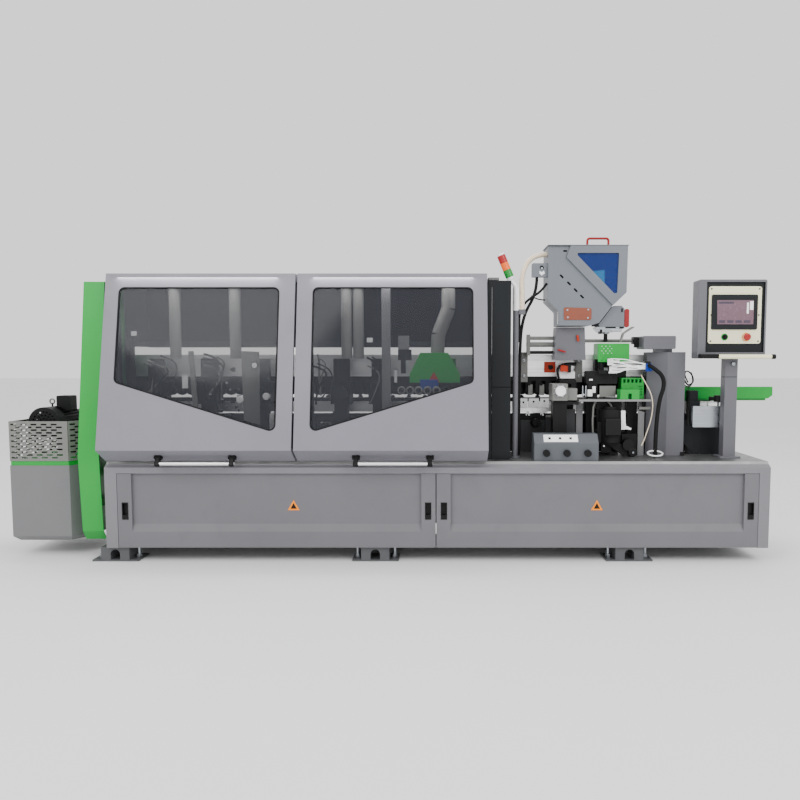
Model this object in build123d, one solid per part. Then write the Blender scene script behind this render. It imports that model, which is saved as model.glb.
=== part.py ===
from build123d import *
import math
import os

# Edge banding machine. X runs along the feed, -Y is the operator's side, Z is up from the floor.
# Every value is in millimetres or degrees.

# Base and feet
BASE_X0, BASE_X1 = -1670.0, 2070.0
BASE_Y0, BASE_Y1 = -430.0, 270.0
BASE_Z0, BASE_Z1 = 82.0, 570.0
BED_T = 15.0
SKIN = 3.0
TUBE = 60.0
FOOT_X = (-1632.0, -154.0, 1292.0)
FOOT_PLATE_W, FOOT_LEG_W, FOOT_DEPTH = 264.0, 160.0, 150.0
FOOT_PLATE_T = 9.0
ARCH_W, ARCH_TOP = 54.0, 68.0

# Front fascia and its two lift-off panels
FASCIA_TOP_Z = 507.0
FASCIA_BEVEL_Z = 540.0
FASCIA_BEVEL_Y = -400.0
FASCIA_POST_L, FASCIA_POST_R = 67.0, 61.0
PANEL_SEAM_X = 192.0
PANEL_GAP = 2.5
PANEL_STRIP = 80.0
PANEL_DEPTH = 24.0
PANEL_RECESS = 18.0
FACET_Z0, FACET_Z1 = 176.0, 218.0
PULL_W, PULL_H, PULL_Z = 35.0, 97.0, 294.0

# Left end
CABINET_X0, CABINET_X1 = -2266.0, -1925.0
CABINET_Y0, CABINET_Y1 = -310.0, 250.0
CABINET_Z0, CABINET_Z1 = 92.0, 535.0
CABINET_SIDE_X = -1850.0
BAND_H = 25.0
GUARD_Z1 = 790.0
SLOT_W, SLOT_H = 34.0, 9.0
SLOT_PITCH_X, SLOT_PITCH_Z = 58.0, 16.0
SLOT_ROWS = 13
MOTOR_X, MOTOR_Z, MOTOR_R = -2120.0, 772.0, 92.0
MOTOR_Y0, MOTOR_Y1 = -200.0, 170.0
COVER_X0, COVER_X1 = -1830.0, -1711.0
COVER_TOP_Z = 1590.0

# Hood and its doors
HOOD_X0, HOOD_X1 = -1670.0, 482.0
HOOD_SEAM_X = -594.0
HOOD_TOP_Y, HOOD_TOP_Z = -325.0, 1628.0
HOOD_LOW_Y, HOOD_LOW_Z = -532.0, 648.0
HOOD_SILL_Y, HOOD_SILL_Z = -410.0, 573.0
HOOD_REAR_Y = 240.0
DOOR_GAP = 2.0
SEAM_HALF = 6.0
DOOR_T = 3.0
DOOR_RETURN = 22.0
HINGE_R = 6.0
WINDOW_NEAR, WINDOW_FAR = 99.0, 990.0
WINDOW_TOP_Z, WINDOW_HIGH_Z, WINDOW_LOW_Z = 1545.0, 1022.0, 751.0
WINDOW_R = 28.0
WINDOW_T = 5.0
HANDLE_SPAN, HANDLE_BAR_R, HANDLE_REACH = 410.0, 10.0, 44.0
END_PANEL_X0, END_PANEL_X1 = 487.0, 618.0
END_PANEL_Y, END_PANEL_Z1 = -310.0, 1590.0
END_PANEL_SEAM_Z = 985.0

# Feed: chain track, pads, pressure beam and rear support
FEED_X0, FEED_X1 = -1990.0, 2050.0
FEED_Y0, FEED_Y1 = 70.0, 210.0
TRACK_Z0 = 836.0
PAD_TOP_Z = 905.0
PAD_L, PAD_GAP = 74.0, 4.0
BEAM_X0, BEAM_X1 = -1960.0, 1640.0
BEAM_Z0, BEAM_Z1 = 1040.0, 1175.0
BEAM_GROOVE_Z = (1060.0, 1083.0, 1142.0)
ROLLER_R, ROLLER_W, ROLLER_Z = 28.0, 30.0, 951.0
ROLLER_PITCH, ROLLER_START = 62.0, 60.0
HANGER_GAP, HANGER_TOP_Z = 26.0, 1012.0
SPROCKET_R = 46.0
SCREW_R, SCREW_CLEAR = 12.0, 0.05

# Feed: chain track, pads, beam, columns and rear support
SKIRT_SPANS = ((-1600.0, 1455.0), (1680.0, 1880.0))
SKIRT_Y, SKIRT_TOP_Z = 64.0, 811.0
PEDESTAL_X = (-1560.0, -760.0, 40.0, 840.0, 1720.0)
COLUMN_X = (-1772.0, 1568.0)
COLUMN_Y0, COLUMN_Y1 = -100.0, -62.0
SCREW_Y = -25.0
SCREW_Z0, SCREW_Z1 = 575.0, 1192.0
ARM_Z0, ARM_Z1 = 1076.0, 1116.0
SUPPORT_X = (-500.0, 420.0, 1310.0)
SLEEVE_Z0, SLEEVE_Z1 = 700.0, 752.0
ARM_HALF = 20.0
SLEEVE_CLEAR = 0.3
BAR_Y0, BAR_Y1 = 492.0, 532.0

# Glue unit
KNOB_X = (818.0, 934.0, 1052.0)
KNOB_Z = 615.0
KNOB_BOX = (750.0, 1115.0, -370.0, -250.0)
HOPPER_Y0, HOPPER_Y1 = -130.0, 80.0
HOPPER_TOP_Z = 1811.0
LID_HANDLE_X, LID_HANDLE_H, LID_HANDLE_R = (1101.0, 1228.0), 56.0, 7.0
HOPPER_OUTLINE = [
    (852, 1811), (1317, 1811), (1313, 1539), (1234, 1463), (1156, 1361),
    (1103, 1345), (918, 1345), (917, 1431), (852, 1494),
]
HOPPER_COVER = [(980, 1811), (1317, 1811), (1313, 1539), (1234, 1463), (957, 1743)]
HOPPER_GLASS = [(1021, 1768), (1265, 1768), (1258, 1536), (1240, 1533), (1021, 1755)]
HOPPER_SLOTS = ((932, 1633), (975, 1592), (1015, 1553), (1053, 1515))
GATE_Z = 1393.0
DIAL_X, DIAL_Z = 916.0, 962.0

# Tape side
TABLE_Z0, TABLE_Z1 = 898.0, 910.0
PILLAR_TOP = 1189.0
PRESS_X, PRESS_Y = 1230.0, 34.0

# Right end: pillar, infeed guide, arm, control panel, signal tower
PILLAR_PLAN = [(1463, 15), (1463, -62), (1569, -130), (1674, -130), (1674, 15)]
ARM_STUD_X, ARM_STUD_Y = 1874.0, -135.0
POST_X, POST_Y = 1909.0, -200.0
SPIGOT_R = 22.0
POST_TOP = 1159.0
HOUSING = (1694.0, 2084.0, -272.0, -172.0, 1150.0, 1600.0)
RECESS_LEFT, RECESS_LOW = 46.0, 36.0
PLATE = (1755.0, 2057.0, 1236.0, 1562.0)
SCREEN = (1770.0, 2033.0, 1316.0, 1515.0)
STOP_X, SELECTOR_X, BUTTON_Z = 1974.0, 1850.0, 1274.0
BAR_X0, BAR_X1, BAR_Y, BAR_Z = 1778.0, 2125.0, -312.0, 1161.0
BAR_R = 13.0
MAST_X, MAST_Y = 653.0, -230.0
LAMP_FOOT, LAMP_TOP = (622.0, 1606.0), (560.0, 1752.0)
MAST_JOINT_Z = 1426.0
LAMP_R = 24.0

# Inside the hood
UNIT_X = (-1500.0, -1180.0, -860.0, -380.0, -150.0, 260.0)
DUCT_X = (-1330.0, -980.0, -330.0, -262.0)
FUNNEL_X0, FUNNEL_X1 = 40.0, 330.0

# Hoses and cables: route points and diameters
HOSE_ROUTE = [(852, -60, 1770), (770, -60, 1770), (694, -130, 1660), (689, -230, 1490), (689, -230, 1433)]
HOSE_R, HOSE_BEND = 15.0, 60.0
CONDUIT_ROUTE = [(790, -90, 1632), (790, -90, 1540), (702, -140, 1400), (679, -190, 1180), (679, -190, 570)]
CONDUIT_R, CONDUIT_BEND = 9.0, 60.0
AIR_ROUTE = [(1443, -150, 1112), (1443, -205, 1112), (1545, -205, 1030), (1484, -205, 860),
             (1484, -205, 570)]
AIR_R, AIR_BEND = 12.0, 34.0


def block(x0, x1, y0, y1, z0, z1):
    """A box given by its faces."""
    return Pos((x0 + x1) / 2, (y0 + y1) / 2, (z0 + z1) / 2) * Box(x1 - x0, y1 - y0, z1 - z0)


def prism_x(outline, x0, x1):
    """A prism along X from an outline of (Y, Z) points."""
    face = make_face(Polyline(*[(x0, y, z) for y, z in outline], close=True))
    return extrude(face, amount=x1 - x0, dir=(1, 0, 0))


def prism_y(outline, y0, y1):
    """A prism along Y from an outline of (X, Z) points."""
    face = make_face(Polyline(*[(x, y0, z) for x, z in outline], close=True))
    return extrude(face, amount=y1 - y0, dir=(0, 1, 0))


def prism_z(outline, z0, z1):
    """A prism along Z from an outline of (X, Y) points."""
    face = make_face(Polyline(*[(x, y, z0) for x, y in outline], close=True))
    return extrude(face, amount=z1 - z0, dir=(0, 0, 1))


def rod(start, end, radius):
    """A round bar between two points."""
    axis = Vector(*end) - Vector(*start)
    return Solid.make_cylinder(radius, axis.length, Plane(origin=start, z_dir=axis))


def pipe(start, end, radius, bore):
    """A round tube between two points."""
    return rod(start, end, radius) - rod(start, end, bore)


def capped_tube(x0, x1, y0, y1, z0, z1):
    """A square frame tube with welded end caps."""
    wall = SKIN
    inner = block(x0 + wall, x1 - wall, y0 + wall, y1 - wall, z0 + wall, z1 - wall)
    return block(x0, x1, y0, y1, z0, z1) - inner


def softened(part, axis, radius):
    """The part with its edges along one axis rounded."""
    return fillet(part.edges().filter_by(axis), radius)


def bent_sheet(points, thickness, x0, x1):
    """A sheet bent along (Y, Z) points, thickened to the left of the line, from x0 to x1."""
    inner = []
    for index, (y, z) in enumerate(points):
        before = points[max(index - 1, 0)]
        after = points[min(index + 1, len(points) - 1)]
        incoming = Vector(y - before[0], z - before[1]) if index else Vector(after[0] - y, after[1] - z)
        outgoing = Vector(after[0] - y, after[1] - z) if index < len(points) - 1 else incoming
        left_in = Vector(-incoming.Y, incoming.X).normalized()
        left_out = Vector(-outgoing.Y, outgoing.X).normalized()
        mitre = (left_in + left_out).normalized()
        reach = thickness / mitre.dot(left_in)
        inner.append((y + mitre.X * reach, z + mitre.Y * reach))
    return prism_x(list(points) + inner[::-1], x0, x1)


def hex_bolt(x, y, z0, z1, radius):
    """An upright bolt with a hexagonal nut a little above its lower end."""
    shank = rod((x, y, z0), (x, y, z1), radius)
    hexagon = RegularPolygon(radius * 1.7, 6)
    nut = Pos(x, y, z0 + FOOT_PLATE_T + radius * 0.8) * extrude(hexagon, radius * 0.8, both=True)
    return [shank, nut - rod((x, y, z0), (x, y, z1), radius)]


# ---- Base ----

def base_frame():
    """Frame tubes, closing skins at the rear and the ends, and the end caps."""
    x0, x1 = BASE_X0 + SKIN, BASE_X1 - SKIN
    y0, y1 = BASE_Y0 + 30, BASE_Y1 - SKIN
    top = BASE_Z1 - BED_T
    solids = []
    for y in (y0, y1 - TUBE):
        solids.append(capped_tube(x0, x1, y, y + TUBE, BASE_Z0, BASE_Z0 + TUBE))
        solids.append(capped_tube(x0, x1, y, y + TUBE, top - TUBE, top))
        for x in (x0, FOOT_X[1] - TUBE / 2, PANEL_SEAM_X + 560, x1 - TUBE):
            solids.append(capped_tube(x, x + TUBE, y, y + TUBE, BASE_Z0 + TUBE, top - TUBE))
    for x in (x0, *[foot - TUBE / 2 for foot in FOOT_X[1:]], x1 - TUBE):
        for z in (BASE_Z0, top - TUBE):
            solids.append(capped_tube(x, x + TUBE, y0 + TUBE, y1 - TUBE, z, z + TUBE))
    solids.append(block(x0, x1, y1, BASE_Y1, BASE_Z0, top))
    for x in (BASE_X0, x1):
        solids.append(block(x, x + SKIN, y0, BASE_Y1, BASE_Z0, top))
    return solids


def bed_plate():
    """Machined plate that carries every unit, bevelled along its front edge."""
    outline = [
        (FASCIA_BEVEL_Y, BASE_Z1 - BED_T),
        (FASCIA_BEVEL_Y + 10, BASE_Z1),
        (BASE_Y1, BASE_Z1),
        (BASE_Y1, BASE_Z1 - BED_T),
    ]
    return [prism_x(outline, BASE_X0, BASE_X1)]


def front_fascia():
    """Front ring around the service panels: two posts and a bevelled top band."""
    back = BASE_Y0 + 30
    top = BASE_Z1 - BED_T
    band = [
        (back, FASCIA_TOP_Z),
        (BASE_Y0, FASCIA_TOP_Z),
        (BASE_Y0, FASCIA_BEVEL_Z),
        (FASCIA_BEVEL_Y - 4, top),
        (back, top),
    ]
    solids = [prism_x(band, BASE_X0, BASE_X1)]
    posts = ((BASE_X0, BASE_X0 + FASCIA_POST_L), (BASE_X1 - FASCIA_POST_R, BASE_X1))
    for x0, x1 in posts:
        solids.append(block(x0, x1, BASE_Y0, back, BASE_Z0, FASCIA_TOP_Z))
    return solids


def service_panel(x0, x1):
    """Lift-off panel: flush end strips, a recessed middle and a bevel down to the lower flat."""
    y0, y1 = BASE_Y0, BASE_Y0 + PANEL_DEPTH
    z0, z1 = BASE_Z0 + 2, FASCIA_TOP_Z - 2
    recess_y = y0 + PANEL_RECESS
    recess = [(y0 - 1, FACET_Z0), (y0, FACET_Z0), (recess_y, FACET_Z1), (recess_y, z1 + 1),
              (y0 - 1, z1 + 1)]
    pocket = [
        (y0 + SKIN, z0 + SKIN),
        (y0 + SKIN, FACET_Z0 - SKIN),
        (recess_y + SKIN, FACET_Z1 - SKIN),
        (recess_y + SKIN, z1 - SKIN),
        (y1 + 1, z1 - SKIN),
        (y1 + 1, z0 + SKIN),
    ]
    mid0, mid1 = x0 + PANEL_STRIP, x1 - PANEL_STRIP
    panel = block(x0, x1, y0, y1, z0, z1)
    panel -= prism_x(recess, mid0, mid1)
    panel -= prism_x(pocket, mid0 + SKIN, mid1 - SKIN)
    solids = [panel]
    for x in (x0 + PANEL_STRIP / 2 + 2, x1 - PANEL_STRIP / 2 - 2):
        solids.append(pull(x, y0))
        solids[0] -= block(x - PULL_W / 2, x + PULL_W / 2, y0 - 5, y1 + 5, PULL_Z - PULL_H / 2,
                           PULL_Z + PULL_H / 2)
    return solids


def pull(x, y):
    """Flush pull: a rounded cup with a finger hollow that undercuts its upper lip."""
    half_w, half_h = PULL_W / 2, PULL_H / 2
    body = block(x - half_w, x + half_w, y - 2.5, y + 20, PULL_Z - half_h, PULL_Z + half_h)
    hollow = block(x - half_w + 4, x + half_w - 4, y - 5, y + 15, PULL_Z - half_h + 26, PULL_Z + half_h - 6)
    return body - hollow


def feet():
    """Welded foot brackets: a floor plate and a leg with an arched hole for a fork."""
    solids = []
    for x in FOOT_X:
        for side in (-1, 1):
            y_mid = (BASE_Y0 + BASE_Y1) / 2 + side * ((BASE_Y1 - BASE_Y0) / 2 - 20 - FOOT_DEPTH / 2)
            y0, y1 = y_mid - FOOT_DEPTH / 2, y_mid + FOOT_DEPTH / 2
            leg = block(x - FOOT_LEG_W / 2, x + FOOT_LEG_W / 2, y0, y1, FOOT_PLATE_T, BASE_Z0)
            arch = block(x - ARCH_W / 2, x + ARCH_W / 2, y0 - 1, y1 + 1, FOOT_PLATE_T,
                         ARCH_TOP - ARCH_W / 2)
            crown = rod((x, y0 - 1, ARCH_TOP - ARCH_W / 2), (x, y1 + 1, ARCH_TOP - ARCH_W / 2), ARCH_W / 2)
            plate = block(x - FOOT_PLATE_W / 2, x + FOOT_PLATE_W / 2, y0, y1, 0, FOOT_PLATE_T)
            for bolt_x in (x - 106, x + 106):
                plate -= rod((bolt_x, y_mid, -1), (bolt_x, y_mid, FOOT_PLATE_T + 1), 10.5)
            solids.append(leg - arch - crown)
            solids.append(plate)
    return solids


def levelling_bolts():
    """Levelling bolts beside each foot leg."""
    solids = []
    for x in FOOT_X:
        for side in (-1, 1):
            y_mid = (BASE_Y0 + BASE_Y1) / 2 + side * ((BASE_Y1 - BASE_Y0) / 2 - 20 - FOOT_DEPTH / 2)
            for bolt_x in (x - 106, x + 106):
                solids += hex_bolt(bolt_x, y_mid, 0, 62, 10)
    return solids


# ---- Left end: cabinet, guard, motor and green cover ----

def cabinet_outline(inset=0.0):
    """Plan of the cabinet, with its right front corner cut back."""
    return [
        (CABINET_X0 + inset, CABINET_Y0 + inset),
        (CABINET_X1 - inset, CABINET_Y0 + inset),
        (CABINET_SIDE_X - inset, CABINET_Y0 + 110),
        (CABINET_SIDE_X - inset, CABINET_Y1 - inset),
        (CABINET_X0 + inset, CABINET_Y1 - inset),
    ]


def electrical_cabinet():
    """Sheet-metal cabinet, its green top band and the two brackets to the base."""
    shell = prism_z(cabinet_outline(), CABINET_Z0, CABINET_Z1)
    shell = chamfer(shell.faces().sort_by(Axis.Z)[0].edges(), 28)
    shell -= prism_z(cabinet_outline(SKIN), CABINET_Z0 + 32, CABINET_Z1 - SKIN)
    band = prism_z(cabinet_outline(4), CABINET_Z1, CABINET_Z1 + BAND_H)
    solids = [shell, band]
    for y in (90, 190):
        solids.append(capped_tube(CABINET_SIDE_X, BASE_X0, y - 30, y + 30, 420, 480))
    return solids


def slot_centres(length, z0):
    """Centres of the staggered guard slots along a panel of the given length."""
    centres = []
    for row in range(SLOT_ROWS):
        start = -length / 2 + SLOT_PITCH_X * (0.5 if row % 2 == 0 else 1.0)
        count = int((length / 2 - SLOT_W / 2 - 6 - start) / SLOT_PITCH_X) + 1
        for index in range(count):
            centres.append((start + index * SLOT_PITCH_X, z0 + SLOT_PITCH_Z * row))
    return centres


def motor_guard():
    """Four bolted guard panels around the feed motor, three of them slotted."""
    z0 = CABINET_Z1 + BAND_H
    plan = cabinet_outline()
    solids = []
    sides = ((plan[0], plan[1]), (plan[1], plan[2]), (plan[4], plan[0]))
    for start, end in sides:
        along = Vector(end[0] - start[0], end[1] - start[1])
        length = along.length
        middle = Vector((start[0] + end[0]) / 2, (start[1] + end[1]) / 2, 0)
        plane = Plane(origin=middle, x_dir=along, z_dir=(0, 0, 1))
        sheet = block(-length / 2 + 2, length / 2 - 2, 0, 2, z0, GUARD_Z1)
        slots = [
            block(x - SLOT_W / 2, x + SLOT_W / 2, -3, 6, z - SLOT_H / 2, z + SLOT_H / 2)
            for x, z in slot_centres(length, z0 + 20)
        ]
        rim = block(-length / 2 + 2, length / 2 - 2, 2, 14, GUARD_Z1 - 2, GUARD_Z1)
        solids.append(plane.location * (sheet - slots + rim))
    solids.append(block(CABINET_X0 + 4, CABINET_SIDE_X, CABINET_Y1 - 2, CABINET_Y1, z0, GUARD_Z1))
    return solids


def feed_motor():
    """Finned motor with fan cowl, terminal box, lifting eye, cradle and right-angle gearbox."""
    body = rod((MOTOR_X, -120, MOTOR_Z), (MOTOR_X, MOTOR_Y1 - 90, MOTOR_Z), MOTOR_R - 12)
    for index in range(28):
        angle = math.radians(index * 360 / 28 + 6)
        fin = block(MOTOR_R - 16, MOTOR_R - 1, -118, MOTOR_Y1 - 92, -2, 2)
        body += Pos(MOTOR_X, 0, MOTOR_Z) * Rot(0, math.degrees(angle), 0) * fin
    cowl = pipe((MOTOR_X, MOTOR_Y0 + 4, MOTOR_Z), (MOTOR_X, -120, MOTOR_Z), MOTOR_R, MOTOR_R - 3)
    face = rod((MOTOR_X, MOTOR_Y0, MOTOR_Z), (MOTOR_X, MOTOR_Y0 + 4, MOTOR_Z), MOTOR_R)
    for ring, count in ((24, 8), (44, 14), (64, 20)):
        for index in range(count):
            angle = 2 * math.pi * index / count
            hole_x, hole_z = MOTOR_X + ring * math.cos(angle), MOTOR_Z + ring * math.sin(angle)
            face -= rod((hole_x, MOTOR_Y0 - 1, hole_z), (hole_x, MOTOR_Y0 + 5, hole_z), 5)
    box_z = MOTOR_Z + MOTOR_R
    terminal = softened(block(MOTOR_X + 6, MOTOR_X + 86, -60, 30, box_z - 30, box_z + 62), Axis.Y, 8) - body
    eye = Pos(MOTOR_X - 40, -20, box_z + 26) * Rot(90, 0, 0) * Torus(14, 4.5)
    shank = rod((MOTOR_X - 40, -20, box_z - 14), (MOTOR_X - 40, -20, box_z + 14), 5) - body
    gearbox = softened(block(MOTOR_X - 80, MOTOR_X + 70, 80, 175, MOTOR_Z - 90, MOTOR_Z + 60), Axis.Y, 22)
    cradle = block(MOTOR_X - 70, MOTOR_X + 60, 84, 170, CABINET_Z1 + BAND_H, MOTOR_Z - 90)
    return [body, cowl + face, terminal.solids().sort_by(SortBy.VOLUME)[-1], eye, shank, gearbox, cradle]


def end_cover():
    """Green cover over the outfeed end: front, side and top panels and the return to the hood."""
    front = [(-250, COVER_TOP_Z), (-399, 600), (-371, 165), (-330, 110)]
    solids = [bent_sheet(front[::-1], -SKIN, COVER_X0 + SKIN, COVER_X1)]
    side = [*front, (40, 110), (40, COVER_TOP_Z)]
    solids.append(prism_x(side, COVER_X0, COVER_X0 + SKIN))
    solids.append(block(COVER_X0 + SKIN, HOOD_X0, -245, 40, COVER_TOP_Z - SKIN, COVER_TOP_Z))
    inner_side = [(-220, COVER_TOP_Z - SKIN), (-366, 600), (-366, BASE_Z1 + 1), (38, BASE_Z1 + 1),
                  (38, COVER_TOP_Z - SKIN)]
    solids.append(prism_x(inner_side, HOOD_X0 - SKIN, HOOD_X0 - 0.5))
    solids.append(block(COVER_X0 + SKIN, HOOD_X0 - SKIN, -126, -123, BASE_Z1, COVER_TOP_Z - SKIN))
    solids.append(block(COVER_X0 + SKIN, BASE_X0, -300, 38, 300, 306))
    return solids


# ---- Hood ----

def door_plane():
    """Plane of the door fronts: x along the machine, y up the slope, z outwards."""
    up = Vector(0, HOOD_TOP_Y - HOOD_LOW_Y, HOOD_TOP_Z - HOOD_LOW_Z).normalized()
    return Plane(origin=(0, HOOD_LOW_Y, HOOD_LOW_Z), x_dir=(1, 0, 0), z_dir=(0, -up.Z, up.Y))


def up_slope(z):
    """Distance up the door front at a height."""
    run = math.hypot(HOOD_TOP_Y - HOOD_LOW_Y, HOOD_TOP_Z - HOOD_LOW_Z)
    return (z - HOOD_LOW_Z) * run / (HOOD_TOP_Z - HOOD_LOW_Z)


def window_outline(side, margin=0.0):
    """Window outline on the door plane, mirrored about the seam, grown by a margin."""
    near = HOOD_SEAM_X + side * (WINDOW_NEAR - margin)
    far = HOOD_SEAM_X + side * (WINDOW_FAR + margin)
    top = up_slope(WINDOW_TOP_Z) + margin
    corners = [(near, top), (far, top), (far, up_slope(WINDOW_HIGH_Z) - margin),
               (near, up_slope(WINDOW_LOW_Z) - margin)]
    face = make_face(Polyline(*corners, close=True))
    return fillet(face.vertices(), WINDOW_R + margin)


def window_solid(side, margin, back, front):
    """Window outline thickened between two depths from the door plane."""
    sketch = window_outline(side, margin)
    return door_plane().location * Pos(0, 0, back) * extrude(sketch, amount=front - back, dir=(0, 0, 1))


def door_x(side):
    """Door edges along X, seam side first."""
    edge = HOOD_X1 if side > 0 else HOOD_X0
    return sorted((HOOD_SEAM_X + side * SEAM_HALF, edge - side * DOOR_GAP))


def hood_door(side):
    """Bent door sheet with side returns, a window opening and knuckles at the top."""
    x0, x1 = door_x(side)
    front = [(HOOD_SILL_Y, HOOD_SILL_Z + 2), (HOOD_LOW_Y, HOOD_LOW_Z), (HOOD_TOP_Y, HOOD_TOP_Z)]
    sheet = bent_sheet(front, -DOOR_T, x0, x1)
    sheet += bent_sheet(front, -DOOR_RETURN, x0, x0 + DOOR_T)
    sheet += bent_sheet(front, -DOOR_RETURN, x1 - DOOR_T, x1)
    sheet -= window_solid(side, 0, -30, 10)
    hinge_y, hinge_z = HOOD_TOP_Y + 30, HOOD_TOP_Z - HINGE_R
    leaf = block(x0 + 60, x1 - 60, HOOD_TOP_Y + 1, hinge_y, HOOD_TOP_Z - 3.2, HOOD_TOP_Z - 0.2)
    for x in hinge_places(side):
        for end in (-1, 1):
            leaf -= block(x + end * 38 - 8, x + end * 38 + 8, hinge_y - 12, hinge_y + 1, hinge_z - 9,
                          HOOD_TOP_Z + 1)
    sheet += leaf
    for x in hinge_places(side):
        knuckle = pipe((x - 30, hinge_y, hinge_z), (x + 30, hinge_y, hinge_z), HINGE_R + 3, HINGE_R - 2.95)
        sheet += knuckle
        sheet -= rod((x - 31, hinge_y, hinge_z), (x + 31, hinge_y, hinge_z), HINGE_R - 2.95)
    return [sheet.solids().sort_by(SortBy.VOLUME)[-1]]


def hinge_places(side):
    """Centres of the three hinge knuckles of a door."""
    x0, x1 = door_x(side)
    middle = (x0 + x1) / 2
    return (middle - 380, middle, middle + 380)


def hood_window(side):
    """Tinted pane fixed behind the door opening."""
    pane = window_solid(side, 9, -DOOR_T - WINDOW_T, -DOOR_T)
    return [pane]


def door_handle(side):
    """Two black elbow brackets on the door's lower bevel and the bar between them."""
    x0, x1 = door_x(side)
    middle = (x0 + x1) / 2 + side * 8
    along = Vector(0, HOOD_SILL_Y - HOOD_LOW_Y, HOOD_SILL_Z - HOOD_LOW_Z).normalized()
    out = Vector(0, along.Z, -along.Y)
    root = Vector(0, (HOOD_LOW_Y + HOOD_SILL_Y) / 2, (HOOD_LOW_Z + HOOD_SILL_Z) / 2) + along * 4
    bar_at = root + out * HANDLE_REACH
    solids = []
    for end in (-1, 1):
        bracket_x = middle + end * HANDLE_SPAN / 2
        plane = Plane(origin=(bracket_x, root.Y, root.Z), x_dir=(1, 0, 0), z_dir=out)
        foot = softened(block(-22, 22, -16, 16, 0, 14), Axis.Z, 8)
        stem = softened(block(-14, 14, -13, 13, 14, HANDLE_REACH + 13), Axis.Z, 6)
        bore = rod((-20, 0, HANDLE_REACH), (20, 0, HANDLE_REACH), HANDLE_BAR_R)
        solids.append(plane.location * (foot + stem - bore))
    reach = HANDLE_SPAN / 2 + 13
    solids.append(rod((middle - reach, bar_at.Y, bar_at.Z), (middle + reach, bar_at.Y, bar_at.Z),
                      HANDLE_BAR_R))
    return solids


def hood_shell():
    """Roof, rear wall, posts, hinge pins, guide rail and the dark end panel."""
    hinge_y, hinge_z = HOOD_TOP_Y + 30, HOOD_TOP_Z - HINGE_R
    roof_y = hinge_y + 14
    solids = [block(HOOD_X0, HOOD_X1, roof_y, HOOD_REAR_Y, HOOD_TOP_Z - SKIN, HOOD_TOP_Z)]
    solids.append(block(HOOD_X0, HOOD_X1, HOOD_REAR_Y - SKIN, HOOD_REAR_Y, 1260, HOOD_TOP_Z - SKIN))
    solids.append(capped_tube(HOOD_X0, HOOD_X1, roof_y, roof_y + 40, HOOD_TOP_Z - 43, HOOD_TOP_Z - SKIN))
    for x in (HOOD_X0, HOOD_SEAM_X - 20, HOOD_X1 - 40):
        solids.append(capped_tube(x, x + 40, roof_y, roof_y + 40, BASE_Z1, HOOD_TOP_Z - 43))
    for side in (-1, 1):
        for x in hinge_places(side):
            solids.append(rod((x - 45, hinge_y, hinge_z), (x + 45, hinge_y, hinge_z), HINGE_R - 3))
            for end in (-1, 1):
                lug = block(x + end * 38 - 6, x + end * 38 + 6, hinge_y - 5, roof_y, hinge_z - 7,
                            HOOD_TOP_Z - 0.5)
                pin = rod((x - 45, hinge_y, hinge_z), (x + 45, hinge_y, hinge_z), HINGE_R - 3)
                solids.append(lug - pin)
    solids.append(capped_tube(HOOD_X0 + 40, HOOD_SEAM_X - 20, -150, -120, 1220, 1250))
    solids.append(capped_tube(HOOD_SEAM_X + 20, HOOD_X1 - 40, -150, -120, 1220, 1250))
    for x in (HOOD_X0 + 40, HOOD_SEAM_X + 20):
        solids.append(capped_tube(x, x + 40, -190, -150, BASE_Z1, 1300))
    return solids


def hood_end_panel():
    """Dark panel that closes the hood towards the glue unit, with a seam and a small lamp box."""
    y1 = 40
    solids = [block(END_PANEL_X0, END_PANEL_X0 + 22, END_PANEL_Y, y1, BASE_Z1, END_PANEL_Z1)]
    solids.append(block(END_PANEL_X0 + 24, END_PANEL_X1, END_PANEL_Y, END_PANEL_Y + 20, BASE_Z1,
                        END_PANEL_SEAM_Z))
    solids.append(block(END_PANEL_X0 + 24, END_PANEL_X1, END_PANEL_Y, END_PANEL_Y + 20,
                        END_PANEL_SEAM_Z + SKIN, END_PANEL_Z1))
    solids.append(block(END_PANEL_X1 - SKIN, END_PANEL_X1, END_PANEL_Y + 20, y1, BASE_Z1, END_PANEL_Z1))
    solids.append(block(END_PANEL_X0 + 22, END_PANEL_X1 - SKIN, END_PANEL_Y + 20, y1,
                        END_PANEL_Z1 - SKIN, END_PANEL_Z1))
    return solids


# ---- Feed: chain track, pads, beam, columns and rear support ----


def chain_track():
    """Two side rails, the lower return rail, the skirt sheets and five pedestals on the bed."""
    x0, x1 = FEED_X0 + 95, FEED_X1 - 95
    solids = [block(x0, x1, FEED_Y0 + 3, FEED_Y0 + 11, TRACK_Z0 - 16, PAD_TOP_Z - 22)]
    solids.append(block(x0, x1, FEED_Y1 - 11, FEED_Y1 - 3, TRACK_Z0 - 16, PAD_TOP_Z - 22))
    solids.append(block(FEED_X0 + 130, FEED_X1 - 130, FEED_Y0 + 11, FEED_Y1 - 11, TRACK_Z0 + 18,
                        TRACK_Z0 + 26))
    for x0, x1 in SKIRT_SPANS:
        skirt = block(x0, x1, SKIRT_Y, SKIRT_Y + SKIN, BASE_Z1 + 2, SKIRT_TOP_Z)
        for x in SUPPORT_X:
            if x0 < x < x1:
                skirt -= block(x - 30, x + 30, SKIRT_Y - 1, SKIRT_Y + SKIN + 1, BASE_Z1 + 1, SLEEVE_Z1 + 4)
        solids.append(skirt)
    for x in PEDESTAL_X:
        for y in (FEED_Y0 + 11, FEED_Y1 - 47):
            solids.append(capped_tube(x - 30, x + 30, y, y + 36, BASE_Z1, TRACK_Z0 - 24))
        solids.append(block(x - 45, x + 45, FEED_Y0 + 3, FEED_Y1 - 3, TRACK_Z0 - 24, TRACK_Z0 - 16))
    return solids


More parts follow.
